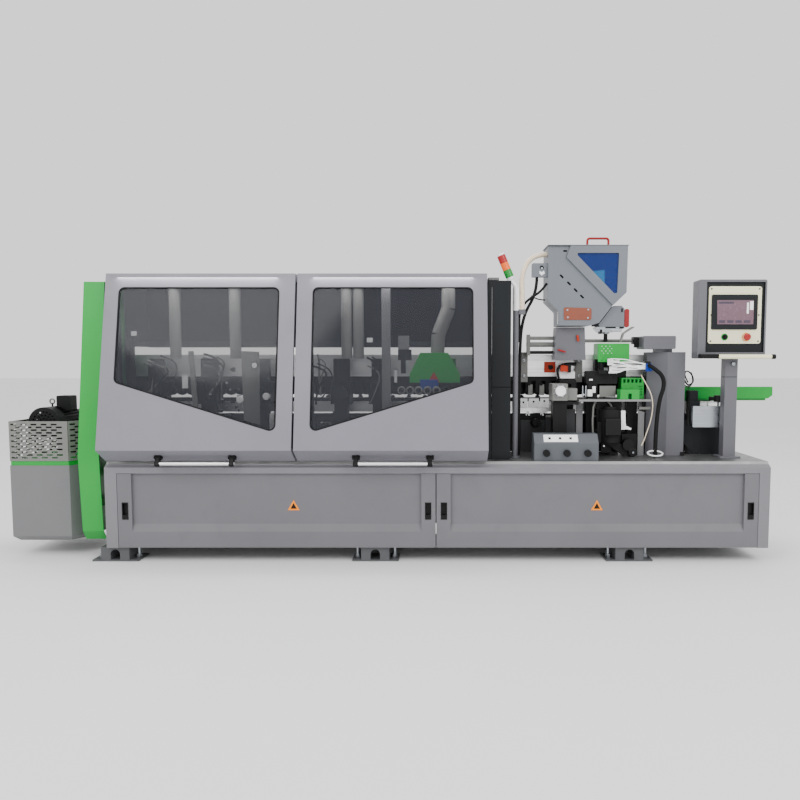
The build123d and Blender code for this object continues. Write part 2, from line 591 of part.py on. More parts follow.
def chain_pads():
    """Rubber-faced carrier pads in a row, on one flat link band around the two sprockets."""
    axis_z = PAD_TOP_Z - 22 - SPROCKET_R
    left, right = FEED_X0 + 74, FEED_X1 - 74
    y0, y1 = (FEED_Y0 + FEED_Y1) / 2 - 14, (FEED_Y0 + FEED_Y1) / 2 + 14
    outer = SPROCKET_R + 12
    solids = []
    for z in (axis_z + SPROCKET_R + 1, axis_z - SPROCKET_R - 11):
        solids.append(block(left, right, y0, y1, z, z + 9))
    for x, side in ((left, -1), (right, 1)):
        ring = pipe((x, y0, axis_z), (x, y1, axis_z), outer - 2, SPROCKET_R + 1)
        cut_x0, cut_x1 = sorted((x, x - side * outer))
        ring -= block(cut_x0, cut_x1, y0, y1, axis_z - outer, axis_z + outer)
        solids.append(ring)
    count = int((right - left) / (PAD_L + PAD_GAP))
    start = left + ((right - left) - count * (PAD_L + PAD_GAP) + PAD_GAP) / 2
    for index in range(count):
        x = start + index * (PAD_L + PAD_GAP)
        solids.append(block(x, x + PAD_L, FEED_Y0 + 14, FEED_Y1 - 14, PAD_TOP_Z - 12, PAD_TOP_Z))
    return solids


def sprocket(x):
    """Toothed wheel on a shaft across the chain track."""
    axis_z = PAD_TOP_Z - 22 - SPROCKET_R
    y_mid = (FEED_Y0 + FEED_Y1) / 2
    wheel = rod((x, y_mid - 9, axis_z), (x, y_mid + 9, axis_z), SPROCKET_R - 1)
    teeth = 16
    for index in range(teeth):
        angle = 2 * math.pi * index / teeth
        gap_x, gap_z = x + SPROCKET_R * math.cos(angle), axis_z + SPROCKET_R * math.sin(angle)
        wheel -= rod((gap_x, y_mid - 10, gap_z), (gap_x, y_mid + 10, gap_z), 5)
    wheel += rod((x, FEED_Y0 - 12, axis_z), (x, FEED_Y1 + 28, axis_z), 15)
    return [wheel]


def sprocket_bearings():
    """Bearing plates of both sprocket shafts on the ends of the track."""
    axis_z = PAD_TOP_Z - 22 - SPROCKET_R
    solids = []
    for x, end in ((FEED_X0 + 74, FEED_X0 + 124), (FEED_X1 - 74, FEED_X1 - 124)):
        x0, x1 = sorted((x - math.copysign(34, end - x), end + math.copysign(40, end - x)))
        for y0 in (FEED_Y0 - 7, FEED_Y1 - 3):
            plate = block(x0, x1, y0, y0 + 10, axis_z - 36, axis_z + 40)
            shaft = rod((x, y0 - 1, axis_z), (x, y0 + 11, axis_z), 15 + SCREW_CLEAR)
            solids.append(plate - shaft)
    return solids


def roller_comb(x0, x1, y0, y1):
    """Front side plate of the beam rollers, cut into one hanger per roller."""
    comb = block(x0, x1, y0, y1, ROLLER_Z - 12, BEAM_Z0)
    gaps = []
    x = BEAM_X0 + ROLLER_START + ROLLER_PITCH / 2
    while x < x1 - ROLLER_PITCH:
        gaps.append(block(x - HANGER_GAP / 2, x + HANGER_GAP / 2, y0 - 1, y1 + 1, ROLLER_Z - 13,
                          HANGER_TOP_Z))
        x += ROLLER_PITCH
    return comb - gaps


def pressure_beam():
    """Hollow extrusion with two front grooves, roller side plates and the two lifting arms."""
    x0, x1 = BEAM_X0, BEAM_X1
    profile = block(x0, x1, FEED_Y0, FEED_Y1, BEAM_Z0, BEAM_Z1)
    profile -= block(x0 - 1, x1 + 1, FEED_Y0 + 16, FEED_Y1 - 6, BEAM_Z0 + 6, BEAM_Z1 - 6)
    for z in BEAM_GROOVE_Z:
        profile -= block(x0 - 1, x1 + 1, FEED_Y0 - 1, FEED_Y0 + 9, z - 5, z + 5)
    solids = [profile]
    for y in (FEED_Y0 + 66, FEED_Y1 - 12):
        solids.append(block(x0 + 12, x1 - 12, y, y + 3, ROLLER_Z - 12, BEAM_Z0))
    solids.append(roller_comb(x0 + 12, x1 - 12, FEED_Y0 + 2, FEED_Y0 + 11))
    for x in COLUMN_X:
        arm = block(x - 24, x + 24, SCREW_Y - 22, FEED_Y0, ARM_Z0, ARM_Z1)
        arm -= rod((x, SCREW_Y, ARM_Z0 - 1), (x, SCREW_Y, ARM_Z1 + 1), SCREW_R + SCREW_CLEAR)
        solids.append(arm)
    return solids


def beam_rollers():
    """Two staggered rows of rubber rollers, each on its own pin across the side plates."""
    solids = []
    rows = ((FEED_Y0 + 22, 0.0), (FEED_Y0 + 84, ROLLER_PITCH / 2))
    for y, shift in rows:
        x = BEAM_X0 + ROLLER_START + shift
        while x < BEAM_X1 - 50:
            solids.append(rod((x, y, ROLLER_Z), (x, y + ROLLER_W, ROLLER_Z), ROLLER_R))
            x += ROLLER_PITCH
    return solids


def beam_columns():
    """Upright tubes that carry the lift screws, with their foot and head bearing blocks."""
    solids = []
    for x in COLUMN_X:
        solids.append(capped_tube(x - 30, x + 30, COLUMN_Y0, COLUMN_Y1, BASE_Z1, 1187))
        for z0, z1 in ((BASE_Z1 + 6, BASE_Z1 + 36), (1163, 1187)):
            bearing = block(x - 24, x + 24, COLUMN_Y1, SCREW_Y + 24, z0, z1)
            bearing -= rod((x, SCREW_Y, z0 - 1), (x, SCREW_Y, z1 + 1), SCREW_R + SCREW_CLEAR)
            solids.append(bearing)
        if x < BASE_X0:
            solids.append(rod((x, SCREW_Y, BASE_Z1 + 6), (x, SCREW_Y, 1187), SCREW_R - SCREW_CLEAR))
            solids.append(block(x - 30, BASE_X0, COLUMN_Y0, COLUMN_Y1, BASE_Z1 - 40, BASE_Z1))
    return solids


def lift_screw(x):
    """Lift screw of the pressure beam with a square end for the crank."""
    shaft = rod((x, SCREW_Y, SCREW_Z0), (x, SCREW_Y, SCREW_Z1), SCREW_R)
    collar = rod((x, SCREW_Y, BASE_Z1 + 36.5), (x, SCREW_Y, BASE_Z1 + 46), SCREW_R + 6)
    return [shaft + collar + block(x - 7, x + 7, SCREW_Y - 7, SCREW_Y + 7, SCREW_Z1, SCREW_Z1 + 14)]


def support_sleeves():
    """Square sleeves behind the track in which the rear support slides, on stub posts."""
    solids = []
    z_mid = (SLEEVE_Z0 + SLEEVE_Z1) / 2
    for x in SUPPORT_X:
        half = (SLEEVE_Z1 - SLEEVE_Z0) / 2
        sleeve = block(x - half, x + half, 40, BASE_Y1 - 4, SLEEVE_Z0, SLEEVE_Z1)
        bore = ARM_HALF + SLEEVE_CLEAR
        sleeve -= block(x - bore, x + bore, 39, BASE_Y1, z_mid - bore, z_mid + bore)
        solids.append(sleeve)
        for y in (60, 190):
            solids.append(capped_tube(x - 22, x + 22, y, y + 44, BASE_Z1, SLEEVE_Z0))
    return solids


def support_extension():
    """Pull-out rear support: three arms, risers and a cross bar with roller wheels."""
    z_mid = (SLEEVE_Z0 + SLEEVE_Z1) / 2
    y0, y1 = BAR_Y0, BAR_Y1
    wheel_r = 16.0
    axis_z = PAD_TOP_Z - wheel_r
    bar_top = axis_z - wheel_r - 1.5
    solids = []
    for x in SUPPORT_X:
        solids.append(block(x - ARM_HALF, x + ARM_HALF, -100, y1, z_mid - ARM_HALF, z_mid + ARM_HALF))
        solids.append(block(x - ARM_HALF, x + ARM_HALF, y0, y1, z_mid + ARM_HALF, bar_top - 36))
    bar = block(SUPPORT_X[0] - 80, SUPPORT_X[-1] + 80, y0, y1, bar_top - 36, bar_top)
    solids.append(bar)
    x = SUPPORT_X[0] - 50
    while x < SUPPORT_X[-1] + 60:
        solids.append(rod((x, y0 + 8, axis_z), (x, y1 - 8, axis_z), wheel_r))
        for y in (y0, y1 - 4):
            solids.append(block(x - 10, x + 10, y, y + 4, bar_top, axis_z + 6))
        for y in (y0 + 4, y1 - 8):
            solids.append(rod((x, y, axis_z), (x, y + 4, axis_z), 5))
        x += 110
    return solids


# ---- Glue unit ----


def knob_box():
    """Regulator box with a sloped lid and three spindle holes."""
    x0, x1, y0, y1 = KNOB_BOX
    outline = [(y0, BASE_Z1), (y0, 670), (y0 + 44, 720), (y1, 720), (y1, BASE_Z1)]
    inner = [(y0 + SKIN, BASE_Z1 + SKIN), (y0 + SKIN, 669), (y0 + 45, 717), (y1 - SKIN, 717),
             (y1 - SKIN, BASE_Z1 + SKIN)]
    box = prism_x(outline, x0, x1) - prism_x(inner, x0 + SKIN, x1 - SKIN)
    for x in KNOB_X:
        box -= rod((x, y0 - 1, KNOB_Z), (x, y0 + 6, KNOB_Z), 4 + SCREW_CLEAR)
    return [box]


def regulator_knob(x):
    """Fluted knob with a pointer rib and its spindle."""
    y0 = KNOB_BOX[2]
    knob = rod((x, y0 - 28, KNOB_Z), (x, y0 - 0.8, KNOB_Z), 19.5)
    for index in range(12):
        angle = 2 * math.pi * (index + 0.5) / 12
        flute_x, flute_z = x + 20.5 * math.cos(angle), KNOB_Z + 20.5 * math.sin(angle)
        knob -= rod((flute_x, y0 - 29, flute_z), (flute_x, y0 - 6, flute_z), 2.6)
    knob += block(x - 1.5, x + 1.5, y0 - 30, y0 - 28, KNOB_Z, KNOB_Z + 17)
    return [knob + rod((x, y0 - 1, KNOB_Z), (x, y0 + 14, KNOB_Z), 4)]


def glue_pot():
    """Glue tank on a column, with the roller bearing block and the dial boss."""
    column = capped_tube(880, 960, -200, -110, BASE_Z1, 905)
    tank = softened(block(868, 962, -226, -90, 905, 1003), Axis.Z, 10)
    tank -= rod((DIAL_X, -227, DIAL_Z), (DIAL_X, -200, DIAL_Z), 6 + SCREW_CLEAR)
    shelf = block(962, 1030, -200, 50, 880, 896)
    shelf -= rod((996, 30, 879), (996, 30, 897), 7 + SCREW_CLEAR)
    web = block(940, 962, -200, -110, 880, 905) - block(880, 960, -201, -109, 879, 905)
    duct = block(962, 1022, -190, -60, 905, 975)
    return [column, tank, shelf + web, duct]


def glue_dial():
    """White setting dial with its spindle and a raised rim."""
    dial = rod((DIAL_X, -244, DIAL_Z), (DIAL_X, -227, DIAL_Z), 30)
    dial += pipe((DIAL_X, -250, DIAL_Z), (DIAL_X, -244, DIAL_Z), 30, 24)
    return [dial + rod((DIAL_X, -228, DIAL_Z), (DIAL_X, -202, DIAL_Z), 6)]


def glue_roller():
    """Knurled glue roller on an upright spindle beside the feed line."""
    return [rod((996, 30, 897), (996, 30, 976), 20) + rod((996, 30, 872), (996, 30, 897), 7)]


def hopper_pedestal():
    """Foot column, rear column with its arm, the pedestal box under the hopper and its two levers."""
    solids = [block(900, 1050, -70, 30, BASE_Z1, BASE_Z1 + 12)]
    solids.append(capped_tube(940, 1024, -54, 14, BASE_Z1 + 12, 870))
    solids.append(capped_tube(960, 1030, FEED_Y1 + 6, FEED_Y1 + 52, BASE_Z1, 1300))
    solids.append(block(960, 1030, 30, FEED_Y1 + 6, 1240, 1290))
    box = [(902, 1142), (1090, 1142), (1082, 1337), (910, 1337)]
    solids.append(prism_y(box, -80, 30))
    solids.append(rod((924, -96, 1202), (966, -96, 1190), 5))
    solids.append(rod((924, -96, 1202), (924, -80, 1202), 4))
    solids.append(rod((1042, -92, 1254), (1036, -92, 1290), 7))
    solids.append(rod((1039, -92, 1272), (1039, -80, 1272), 4))
    return solids


def hopper_body():
    """Granulate hopper: folded shell with slots, front window cover, side bracket and seam flange."""
    face = make_face(Polyline(*HOPPER_OUTLINE, close=True))
    upright = Plane(origin=(0, HOPPER_Y0, 0), x_dir=(1, 0, 0), z_dir=(0, -1, 0))
    depth = HOPPER_Y1 - HOPPER_Y0
    shell = upright.location * extrude(face, amount=depth, dir=(0, 0, -1))
    hollow_face = offset(face, -SKIN, kind=Kind.INTERSECTION)
    hollow = upright.location * Pos(0, 0, -SKIN) * extrude(hollow_face, amount=depth - 2 * SKIN,
                                                           dir=(0, 0, -1))
    top = block(852 + SKIN, 1317 - SKIN, HOPPER_Y0 + SKIN, HOPPER_Y1 - SKIN, HOPPER_TOP_Z - 5,
                HOPPER_TOP_Z + 1)
    shell = shell - hollow - top
    for x, z in HOPPER_SLOTS:
        slot = Pos(x, HOPPER_Y0, z) * Rot(0, 45, 0) * softened(Box(28, 12, 11), Axis.Y, 5.4)
        shell -= slot
    shell -= Pos(950, HOPPER_Y0, 1781) * softened(Box(24, 12, 10), Axis.Y, 4.9)
    glass = make_face(Polyline(*HOPPER_GLASS, close=True))
    opening = fillet(glass.vertices().sort_by(Axis.X)[:2] + glass.vertices().sort_by(Axis.X)[-2:], 7)
    through = upright.location * Pos(0, 0, -10) * extrude(opening, amount=40, dir=(0, 0, 1))
    cover = prism_y(HOPPER_COVER, HOPPER_Y0 - 14, HOPPER_Y0) - through
    bracket = softened(block(760, 852, HOPPER_Y0 + 20, HOPPER_Y0 + 60, 1632, 1713), Axis.Y, 6)
    return [shell - through, cover, bracket]


def hopper_window():
    """Blue pane behind the window cover."""
    face = make_face(Polyline(*HOPPER_GLASS, close=True))
    opening = fillet(face.vertices().sort_by(Axis.X)[:2] + face.vertices().sort_by(Axis.X)[-2:], 7)
    upright = Plane(origin=(0, HOPPER_Y0, 0), x_dir=(1, 0, 0), z_dir=(0, -1, 0))
    return [upright.location * Pos(0, 0, 2) * extrude(opening, amount=4, dir=(0, 0, 1))]


def hopper_lid():
    """Folded lid with a rear knuckle and the red bar handle."""
    x0, x1 = 846, 1323
    plate = block(x0, x1, HOPPER_Y0 - 16, HOPPER_Y1 + 2, HOPPER_TOP_Z + 1, HOPPER_TOP_Z + 4)
    knuckle_y, knuckle_z = HOPPER_Y1 + 8, HOPPER_TOP_Z - 3
    knuckle = pipe((x0 + 60, knuckle_y, knuckle_z), (x1 - 60, knuckle_y, knuckle_z), 6, 3.05)
    knuckle -= block(x0, x1, HOPPER_Y1 - 6, knuckle_y, knuckle_z - 8, knuckle_z + 3)
    strap = block(x0 + 60, x1 - 60, HOPPER_Y1 + 1, knuckle_y, HOPPER_TOP_Z + 1, HOPPER_TOP_Z + 3)
    y, z = -20, HOPPER_TOP_Z + 4
    left, right = LID_HANDLE_X
    top = z + LID_HANDLE_H
    path = FilletPolyline((left, y, z), (left, y, top), (right, y, top), (right, y, z), radius=14)
    ring = Plane(origin=(left, y, z), z_dir=(0, 0, 1)) * Circle(LID_HANDLE_R)
    handle = sweep(ring, path=path)
    return [(plate + knuckle + strap).solids().sort_by(SortBy.VOLUME)[-1], handle]


def hopper_hinge():
    """Hinge pin of the lid and its two lugs on the hopper's rear wall."""
    x0, x1 = 846, 1323
    knuckle_y, knuckle_z = HOPPER_Y1 + 8, HOPPER_TOP_Z - 3
    pin = rod((x0 + 40, knuckle_y, knuckle_z), (x1 - 40, knuckle_y, knuckle_z), 3)
    lugs = []
    for x in (x0 + 40, x1 - 56):
        lugs.append(block(x, x + 16, HOPPER_Y1, knuckle_y + 5, knuckle_z - 5, knuckle_z + 3.7) - pin)
    return [pin, *lugs]


def melter_head():
    """Melter housing with the gate slot, the nozzle plate and the black nozzle."""
    outline = [(1160, 1352), (1238, 1456), (1252, 1464), (1296, 1464), (1312, 1448), (1312, 1340),
               (1166, 1340)]
    housing = prism_y(outline, -100, 30)
    housing -= block(1219.5, 1313, -50.3, -9.7, GATE_Z - 3.3, GATE_Z + 3.3)
    plate = [(1150, 1340), (1316, 1340), (1300, 1322), (1250, 1308), (1176, 1308), (1150, 1332)]
    solids = [housing, prism_y(plate, -92, 22)]
    solids.append(rod((1217, -35, 1300), (1217, -35, 1308), 22))
    solids.append(pipe((1217, -35, 1254), (1217, -35, 1300), 12, 5))
    return solids


def melter_gate():
    """Gate plate with its red grip."""
    plate = block(1222, 1324, -50, -10, GATE_Z - 3, GATE_Z + 3)
    grip = softened(block(1322, 1351, -66, 6, 1338, 1448), Axis.Y, 12)
    return [plate + grip]


# ---- Tape side ----


def guide_table():
    """Dark guide plate in front of the feed line, on two legs and a motor bracket."""
    solids = [block(1032, 1460, -190, 58, TABLE_Z0, TABLE_Z1) - rod((PRESS_X, PRESS_Y, 890),
                                                                    (PRESS_X, PRESS_Y, 920), 8.05)]
    for x in (1130, 1380):
        solids.append(capped_tube(x - 30, x + 30, -60, 0, BASE_Z1, TABLE_Z0))
    solids.append(block(1150, 1300, -130, -118, 640, TABLE_Z0))
    solids.append(rod((1225, -160, 655), (1225, -160, 850), 62) + rod((1225, -160, 850),
                                                                      (1225, -160, 866), 40))
    solids.append(softened(block(1180, 1270, -250, -215, 700, 800), Axis.X, 8))
    solids.append(rod((1330, -190, 640), (1330, -120, 640), 34) + rod((1330, -120, 640),
                                                                      (1330, -60, 640), 12))
    return solids


def tape_magazine():
    """Two green magazine boxes: the notched lower one and the finned upper one."""
    lower = softened(block(1276, 1392, -186, -96, TABLE_Z1, 968), Axis.Z, 6)
    lower -= block(1324, 1344, -190, -150, TABLE_Z1 - 1, 944)
    upper = block(1305, 1440, -92, 8, TABLE_Z1, 1034)
    for index in range(5):
        x = 1316 + index * 24
        upper -= block(x, x + 14, -93, -60, 1006, 1026)
    for index in range(4):
        z = 930 + index * 16
        upper -= block(1405, 1432, -93, -84, z, z + 8)
    return [lower, upper]


def guillotine():
    """Dark shear block with its blade plate and air cylinder."""
    block_x0, block_x1 = 1093, 1281
    solids = [softened(block(block_x0, block_x1, -90, -24, 998, 1076), Axis.Y, 8)]
    solids.append(block(block_x0 + 10, block_x0 + 70, -84, -30, TABLE_Z1, 998))
    solids.append(rod((1190, -57, 1076), (1190, -57, 1128), 16))
    solids.append(rod((1240, -57, 1076), (1240, -57, 1110), 10))
    for x in (1112, 1262):
        solids.append(rod((x, -96, 1040), (x, -90, 1040), 6))
    return solids


def press_block():
    """Support of the pressing rollers with its perforated green guard."""
    solids = [block(1290, 1351, -20, 50, 1036, 1146)]
    solids.append(block(1163, 1290, 0, 50, 1096, 1146))
    solids.append(block(1163, 1180, 0, 50, TABLE_Z1, 1096))
    guard = block(1163, 1351, -84, -81, 1130, 1238)
    for row in range(7):
        for column in range(6):
            if (row + column) % 2 == 0:
                x, z = 1186 + column * 12, 1140 + row * 14
                guard -= rod((x, -85, z), (x, -80, z), 2.5)
    solids.append(guard)
    for x in (1163, 1348):
        solids.append(block(x, x + 3, -81, 50, 1146, 1238))
    solids.append(block(1163, 1351, -81, 50, 1238, 1241))
    return solids


def press_roller():
    """Large pressing roller on an upright spindle."""
    wheel = rod((PRESS_X, PRESS_Y, 915), (PRESS_X, PRESS_Y, 978), 27)
    return [wheel + rod((PRESS_X, PRESS_Y, 892), (PRESS_X, PRESS_Y, 990), 8)]


def carriage_tubes():
    """Carriage tubes on both sides of the pedestal, clamps and screw-on bracket plates."""
    y = 8.0
    solids = []
    taper = 8 / 195
    for z, radius in ((1275, 11), (1236, 15), (1188, 10)):
        solids.append(rod((744, y, z), (902 + (z - radius - 1142) * taper, y, z), radius))
    solids.append(rod((1090 - 106 * taper, y - 20, 1258), (1418, y - 20, 1258), 10))
    solids.append(softened(block(1386, 1416, y - 50, y + 10, 1238, 1282), Axis.X, 8) - solids[-1])
    solids.append(block(744, 764, y - 20, y + 20, 1170, 1296))
    for x0, x1, z1 in ((712, 757, 1190), (1050, 1095, 1140)):
        plate = block(x0, x1, 48, 60, 1005, z1)
        middle = (x0 + x1) / 2
        for z in (1050, 1120):
            plate -= rod((middle, 47, z), (middle, 52, z), 8)
            solids.append(rod((middle, 49, z), (middle, 52, z), 7.5))
        solids.append(plate)
    solids.append(block(735, 764, y + 20, 48, 1172, 1188))
    solids.append(block(1055, 1090, 30, 48, 1142, 1152) + block(1055, 1090, 48, 60, 1140, 1152))
    return solids


# ---- Right end: pillar, infeed guide, arm, control panel, signal tower ----


def infeed_pillar():
    """Folded front pillar, open at the rear, with its top box and foot flange."""
    solids = []
    for start, end in zip(PILLAR_PLAN, PILLAR_PLAN[1:]):
        along = Vector(end[0] - start[0], end[1] - start[1], 0)
        plane = Plane(origin=(start[0], start[1], 0), x_dir=along, z_dir=(0, 0, 1))
        solids.append(plane.location * block(0, along.length, 0.0, 4, BASE_Z1, PILLAR_TOP))
    shell = solids[0] + solids[1:]
    box = softened(block(1418, 1608, -150, 10, 1207, 1284), Axis.Y, 7)
    neck = block(1500, 1600, -110, -50, PILLAR_TOP, 1207)
    fitting = softened(block(1424, 1463, -150, -40, 1090, 1134), Axis.Y, 8)
    return [shell, box, fitting, neck - rod((COLUMN_X[1], SCREW_Y, 1180), (COLUMN_X[1], SCREW_Y, 1210), 20)]


def infeed_guide():
    """Green guide beam with a darker lower lip, its post and the link between them."""
    outline = [(1500, 977), (2266, 977), (2266, 925), (2240, 905), (1500, 905)]
    solids = [prism_y(outline, 22, 62)]
    solids.append(block(1500, 2226, 26, 62, 893, 905))
    solids.append(capped_tube(1728, 1792, -62, 2, BASE_Z1, 893))
    solids.append(block(1734, 1786, -40, 22, 893, 955))
    solids.append(prism_y([(1800, 570), (1990, 570), (1990, 700), (1870, 820), (1800, 820)], -60, -52))
    solids.append(block(1792, 1800, -62, 2, 580, 820))
    return solids


def fence_arm():
    """Silver arm plate on the guide post with its threaded stud."""
    arm = softened(block(1720, 1897, -150, -118, 742, 868), Axis.Y, 6)
    arm -= rod((ARM_STUD_X, ARM_STUD_Y, 830), (ARM_STUD_X, ARM_STUD_Y, 869), 6)
    stud = rod((ARM_STUD_X, ARM_STUD_Y, 830), (ARM_STUD_X, ARM_STUD_Y, 905), 6)
    return [arm, stud, block(1738, 1782, -118, -62, 770, 840)]


def arm_knob():
    """Black clamp lever on the arm stud."""
    hub = rod((ARM_STUD_X, ARM_STUD_Y, 893), (ARM_STUD_X, ARM_STUD_Y, 932), 26)
    hub -= rod((ARM_STUD_X, ARM_STUD_Y, 892), (ARM_STUD_X, ARM_STUD_Y, 905.3), 6 + SCREW_CLEAR)
    lever = rod((ARM_STUD_X, ARM_STUD_Y, 916), (ARM_STUD_X - 44, ARM_STUD_Y - 5, 914), 10)
    tip = rod((ARM_STUD_X - 44, ARM_STUD_Y - 5, 914), (ARM_STUD_X - 54, ARM_STUD_Y - 6, 913.5), 12)
    return [hub + (lever - rod((ARM_STUD_X, ARM_STUD_Y, 880), (ARM_STUD_X, ARM_STUD_Y, 905.3), 9)) + tip]


def panel_post():
    """Square post with a foot flange and the swivel spigot of the control panel."""
    solids = [block(POST_X - 60, POST_X + 60, POST_Y - 55, POST_Y + 55, BASE_Z1, BASE_Z1 + 10)]
    solids.append(capped_tube(POST_X - 36, POST_X + 36, POST_Y - 33, POST_Y + 33, BASE_Z1 + 10,
                              POST_TOP - 10))
    solids.append(rod((POST_X, POST_Y, POST_TOP - 10), (POST_X, POST_Y, POST_TOP + 38), SPIGOT_R))
    return solids


def control_panel():
    """Panel housing with a recessed front frame and the swivel hole in its floor."""
    x0, x1, y0, y1, z0, z1 = HOUSING
    housing = softened(block(x0, x1, y0, y1, z0, z1), Axis.Y, 10)
    housing -= block(x0 + RECESS_LEFT, x1 - 10, y0 - 1, y0 + 12, z0 + RECESS_LOW, z1 - 14)
    housing -= block(x0 + SKIN + 4, x1 - SKIN - 4, y0 + 16, y1 - SKIN, z0 + SKIN, z1 - SKIN)
    housing -= rod((POST_X, POST_Y, z0 - 1), (POST_X, POST_Y, z0 + SKIN + 1), SPIGOT_R + SCREW_CLEAR)
    for x in (STOP_X, SELECTOR_X):
        housing -= rod((x, y0 + 11, BUTTON_Z), (x, y0 + 17, BUTTON_Z), 9)
    return [housing]


def panel_plate():
    """Cream front plate with the touch-screen unit, button holes and edge screws."""
    x0, x1, z0, z1 = PLATE
    y = HOUSING[2] + 12
    plate = softened(block(x0, x1, y - 6, y, z0, z1), Axis.Y, 14)
    for x in (STOP_X, SELECTOR_X):
        plate -= rod((x, y - 7, BUTTON_Z), (x, y + 1, BUTTON_Z), 8)
    sx0, sx1, sz0, sz1 = SCREEN
    screen = softened(block(sx0, sx1, y - 13, y - 6, sz0, sz1), Axis.Y, 8)
    screen -= block(sx0 + 22, sx1 - 22, y - 14, y - 12, sz0 + 20, sz1 - 20)
    solids = [plate, screen]
    for x in (x0 + 14, x1 - 14):
        for z in (z0 + 14, (z0 + z1) / 2, z1 - 14):
            solids.append(rod((x, y - 8, z), (x, y - 6, z), 4.5))
    return solids


def panel_handle():
    """Bar handle under the panel front, on a black end bracket and one stay."""
    x0, x1 = BAR_X0, BAR_X1
    bar = rod((x0 + 22, BAR_Y, BAR_Z), (x1 - 22, BAR_Y, BAR_Z), BAR_R)
    solids = [bar]
    solids.append(rod((x1 - 22, BAR_Y, BAR_Z), (x1, BAR_Y, BAR_Z), BAR_R + 1))
    solids.append(softened(block(HOUSING[0] + 6, x0 + 22, BAR_Y - 14, HOUSING[2], BAR_Z - 11,
                                 BAR_Z + 14), Axis.X, 4))
    stay = block(2062, 2078, BAR_Y, HOUSING[2], BAR_Z - 7, BAR_Z + 7)
    solids.append(stay - bar)
    return solids


def stop_button():
    """Mushroom stop button on its plunger."""
    y = HOUSING[2] + 6
    head = rod((STOP_X, y - 26, BUTTON_Z), (STOP_X, y - 14, BUTTON_Z), 20)
    head = fillet(head.edges().filter_by(GeomType.CIRCLE).sort_by(Axis.Y)[:1], 6)
    stem = rod((STOP_X, y - 15, BUTTON_Z), (STOP_X, y + 11, BUTTON_Z), 8 - SCREW_CLEAR)
    return [head + stem]


def selector_switch():
    """Two-position selector with its finger bar."""
    y = HOUSING[2] + 6
    body = rod((SELECTOR_X, y - 9, BUTTON_Z), (SELECTOR_X, y - 1, BUTTON_Z), 14)
    body += rod((SELECTOR_X, y - 2, BUTTON_Z), (SELECTOR_X, y + 11, BUTTON_Z), 8 - SCREW_CLEAR)
    return [body + block(SELECTOR_X - 4, SELECTOR_X + 4, y - 19, y - 9, BUTTON_Z - 12, BUTTON_Z + 12)]


def signal_mast():
    """Mast with its foot, the white upper tube and the tilting joint."""
    solids = [rod((MAST_X, MAST_Y, BASE_Z1), (MAST_X, MAST_Y, BASE_Z1 + 10), 30)]
    solids.append(rod((MAST_X, MAST_Y, BASE_Z1 + 10), (MAST_X, MAST_Y, MAST_JOINT_Z), 17))
    solids.append(rod((MAST_X, MAST_Y, MAST_JOINT_Z), (MAST_X, MAST_Y, 1560), 19))
    solids.append(rod((MAST_X, MAST_Y, 1560), (LAMP_FOOT[0] + 4, MAST_Y, LAMP_FOOT[1] - 8), 11))
    clamp = block(MAST_X + 12, MAST_X + 54, MAST_Y - 17, MAST_Y + 17, MAST_JOINT_Z - 21, MAST_JOINT_Z + 7)
    solids.append(softened(clamp, Axis.Z, 6) - solids[1] - solids[2])
    return solids


def signal_lenses():
    """Green, amber and red lenses under a white cap, leaning with the joint."""
    foot = Vector(LAMP_FOOT[0], MAST_Y, LAMP_FOOT[1])
    lean = Vector(LAMP_TOP[0] - LAMP_FOOT[0], 0, LAMP_TOP[1] - LAMP_FOOT[1])
    length, lean = lean.length, lean.normalized()
    shares = (0.0, 0.08, 0.36, 0.64, 0.92, 1.0)
    solids = []
    for index in range(5):
        start = foot + lean * (length * shares[index])
        end = foot + lean * (length * shares[index + 1] - 1.2)
        radius = LAMP_R - 3 if index in (0, 4) else LAMP_R
        solids.append(rod(tuple(start), tuple(end), radius))
    solids.append(rod(tuple(foot), tuple(foot + lean * length * 0.95), 8))
    merged = solids[-1]
    return [piece - merged for piece in solids[:-1]] + [merged]


# ---- Inside the hood ----


def trim_units():
    """Columns, motors, guide blocks and light side plates of the trimming and buffing units."""
    solids = []
    for index, x in enumerate(UNIT_X):
        solids.append(block(x - 40, x + 40, -110, -30, BASE_Z1, 880))
        solids.append(softened(block(x - 60, x + 60, -140, 20, 880, 1010), Axis.Z, 12))
        solids.append(rod((x, -215, 945), (x, -140, 945), 46))
        solids.append(rod((x, -60, 1010), (x, -60, 1150), 50))
        if index % 2 == 0:
            solids.append(softened(block(x + 70, x + 150, -200, -60, 700, 830), Axis.Y, 10))
            solids.append(block(x + 95, x + 125, -160, -100, BASE_Z1, 700))
    return solids


def dust_ducts():
    """Green dust funnel, its grey duct to the roof and the straight suction ducts."""
    hood_roof = HOOD_TOP_Z - SKIN
    funnel = [(FUNNEL_X0 + 60, 1183), (FUNNEL_X1 - 70, 1183), (FUNNEL_X1, 1060), (FUNNEL_X1, 1012),
              (FUNNEL_X0, 1012),
              (FUNNEL_X0, 1060)]
    solids = [prism_y(funnel, -280, -150)]
    solids.append(rod((200, -215, 1183), (205, -215, 1290), 40))
    solids.append(rod((205, -215, 1290), (262, -215, 1440), 40))
    solids.append(rod((262, -215, 1440), (262, -215, 1560), 40))
    for x in DUCT_X:
        solids.append(rod((x, -200, 1150), (x, -200, hood_roof), 32))
    return solids


# ---- Hoses and cables: route points and diameters ----


def cord(route, radius, bend):
    """A round hose along a route with its corners rounded."""
    path = FilletPolyline(*route, radius=bend)
    start = path @ 0
    ring = Plane(origin=start, z_dir=path % 0) * Circle(radius)
    return [sweep(ring, path=path)]


# ---- Output ----

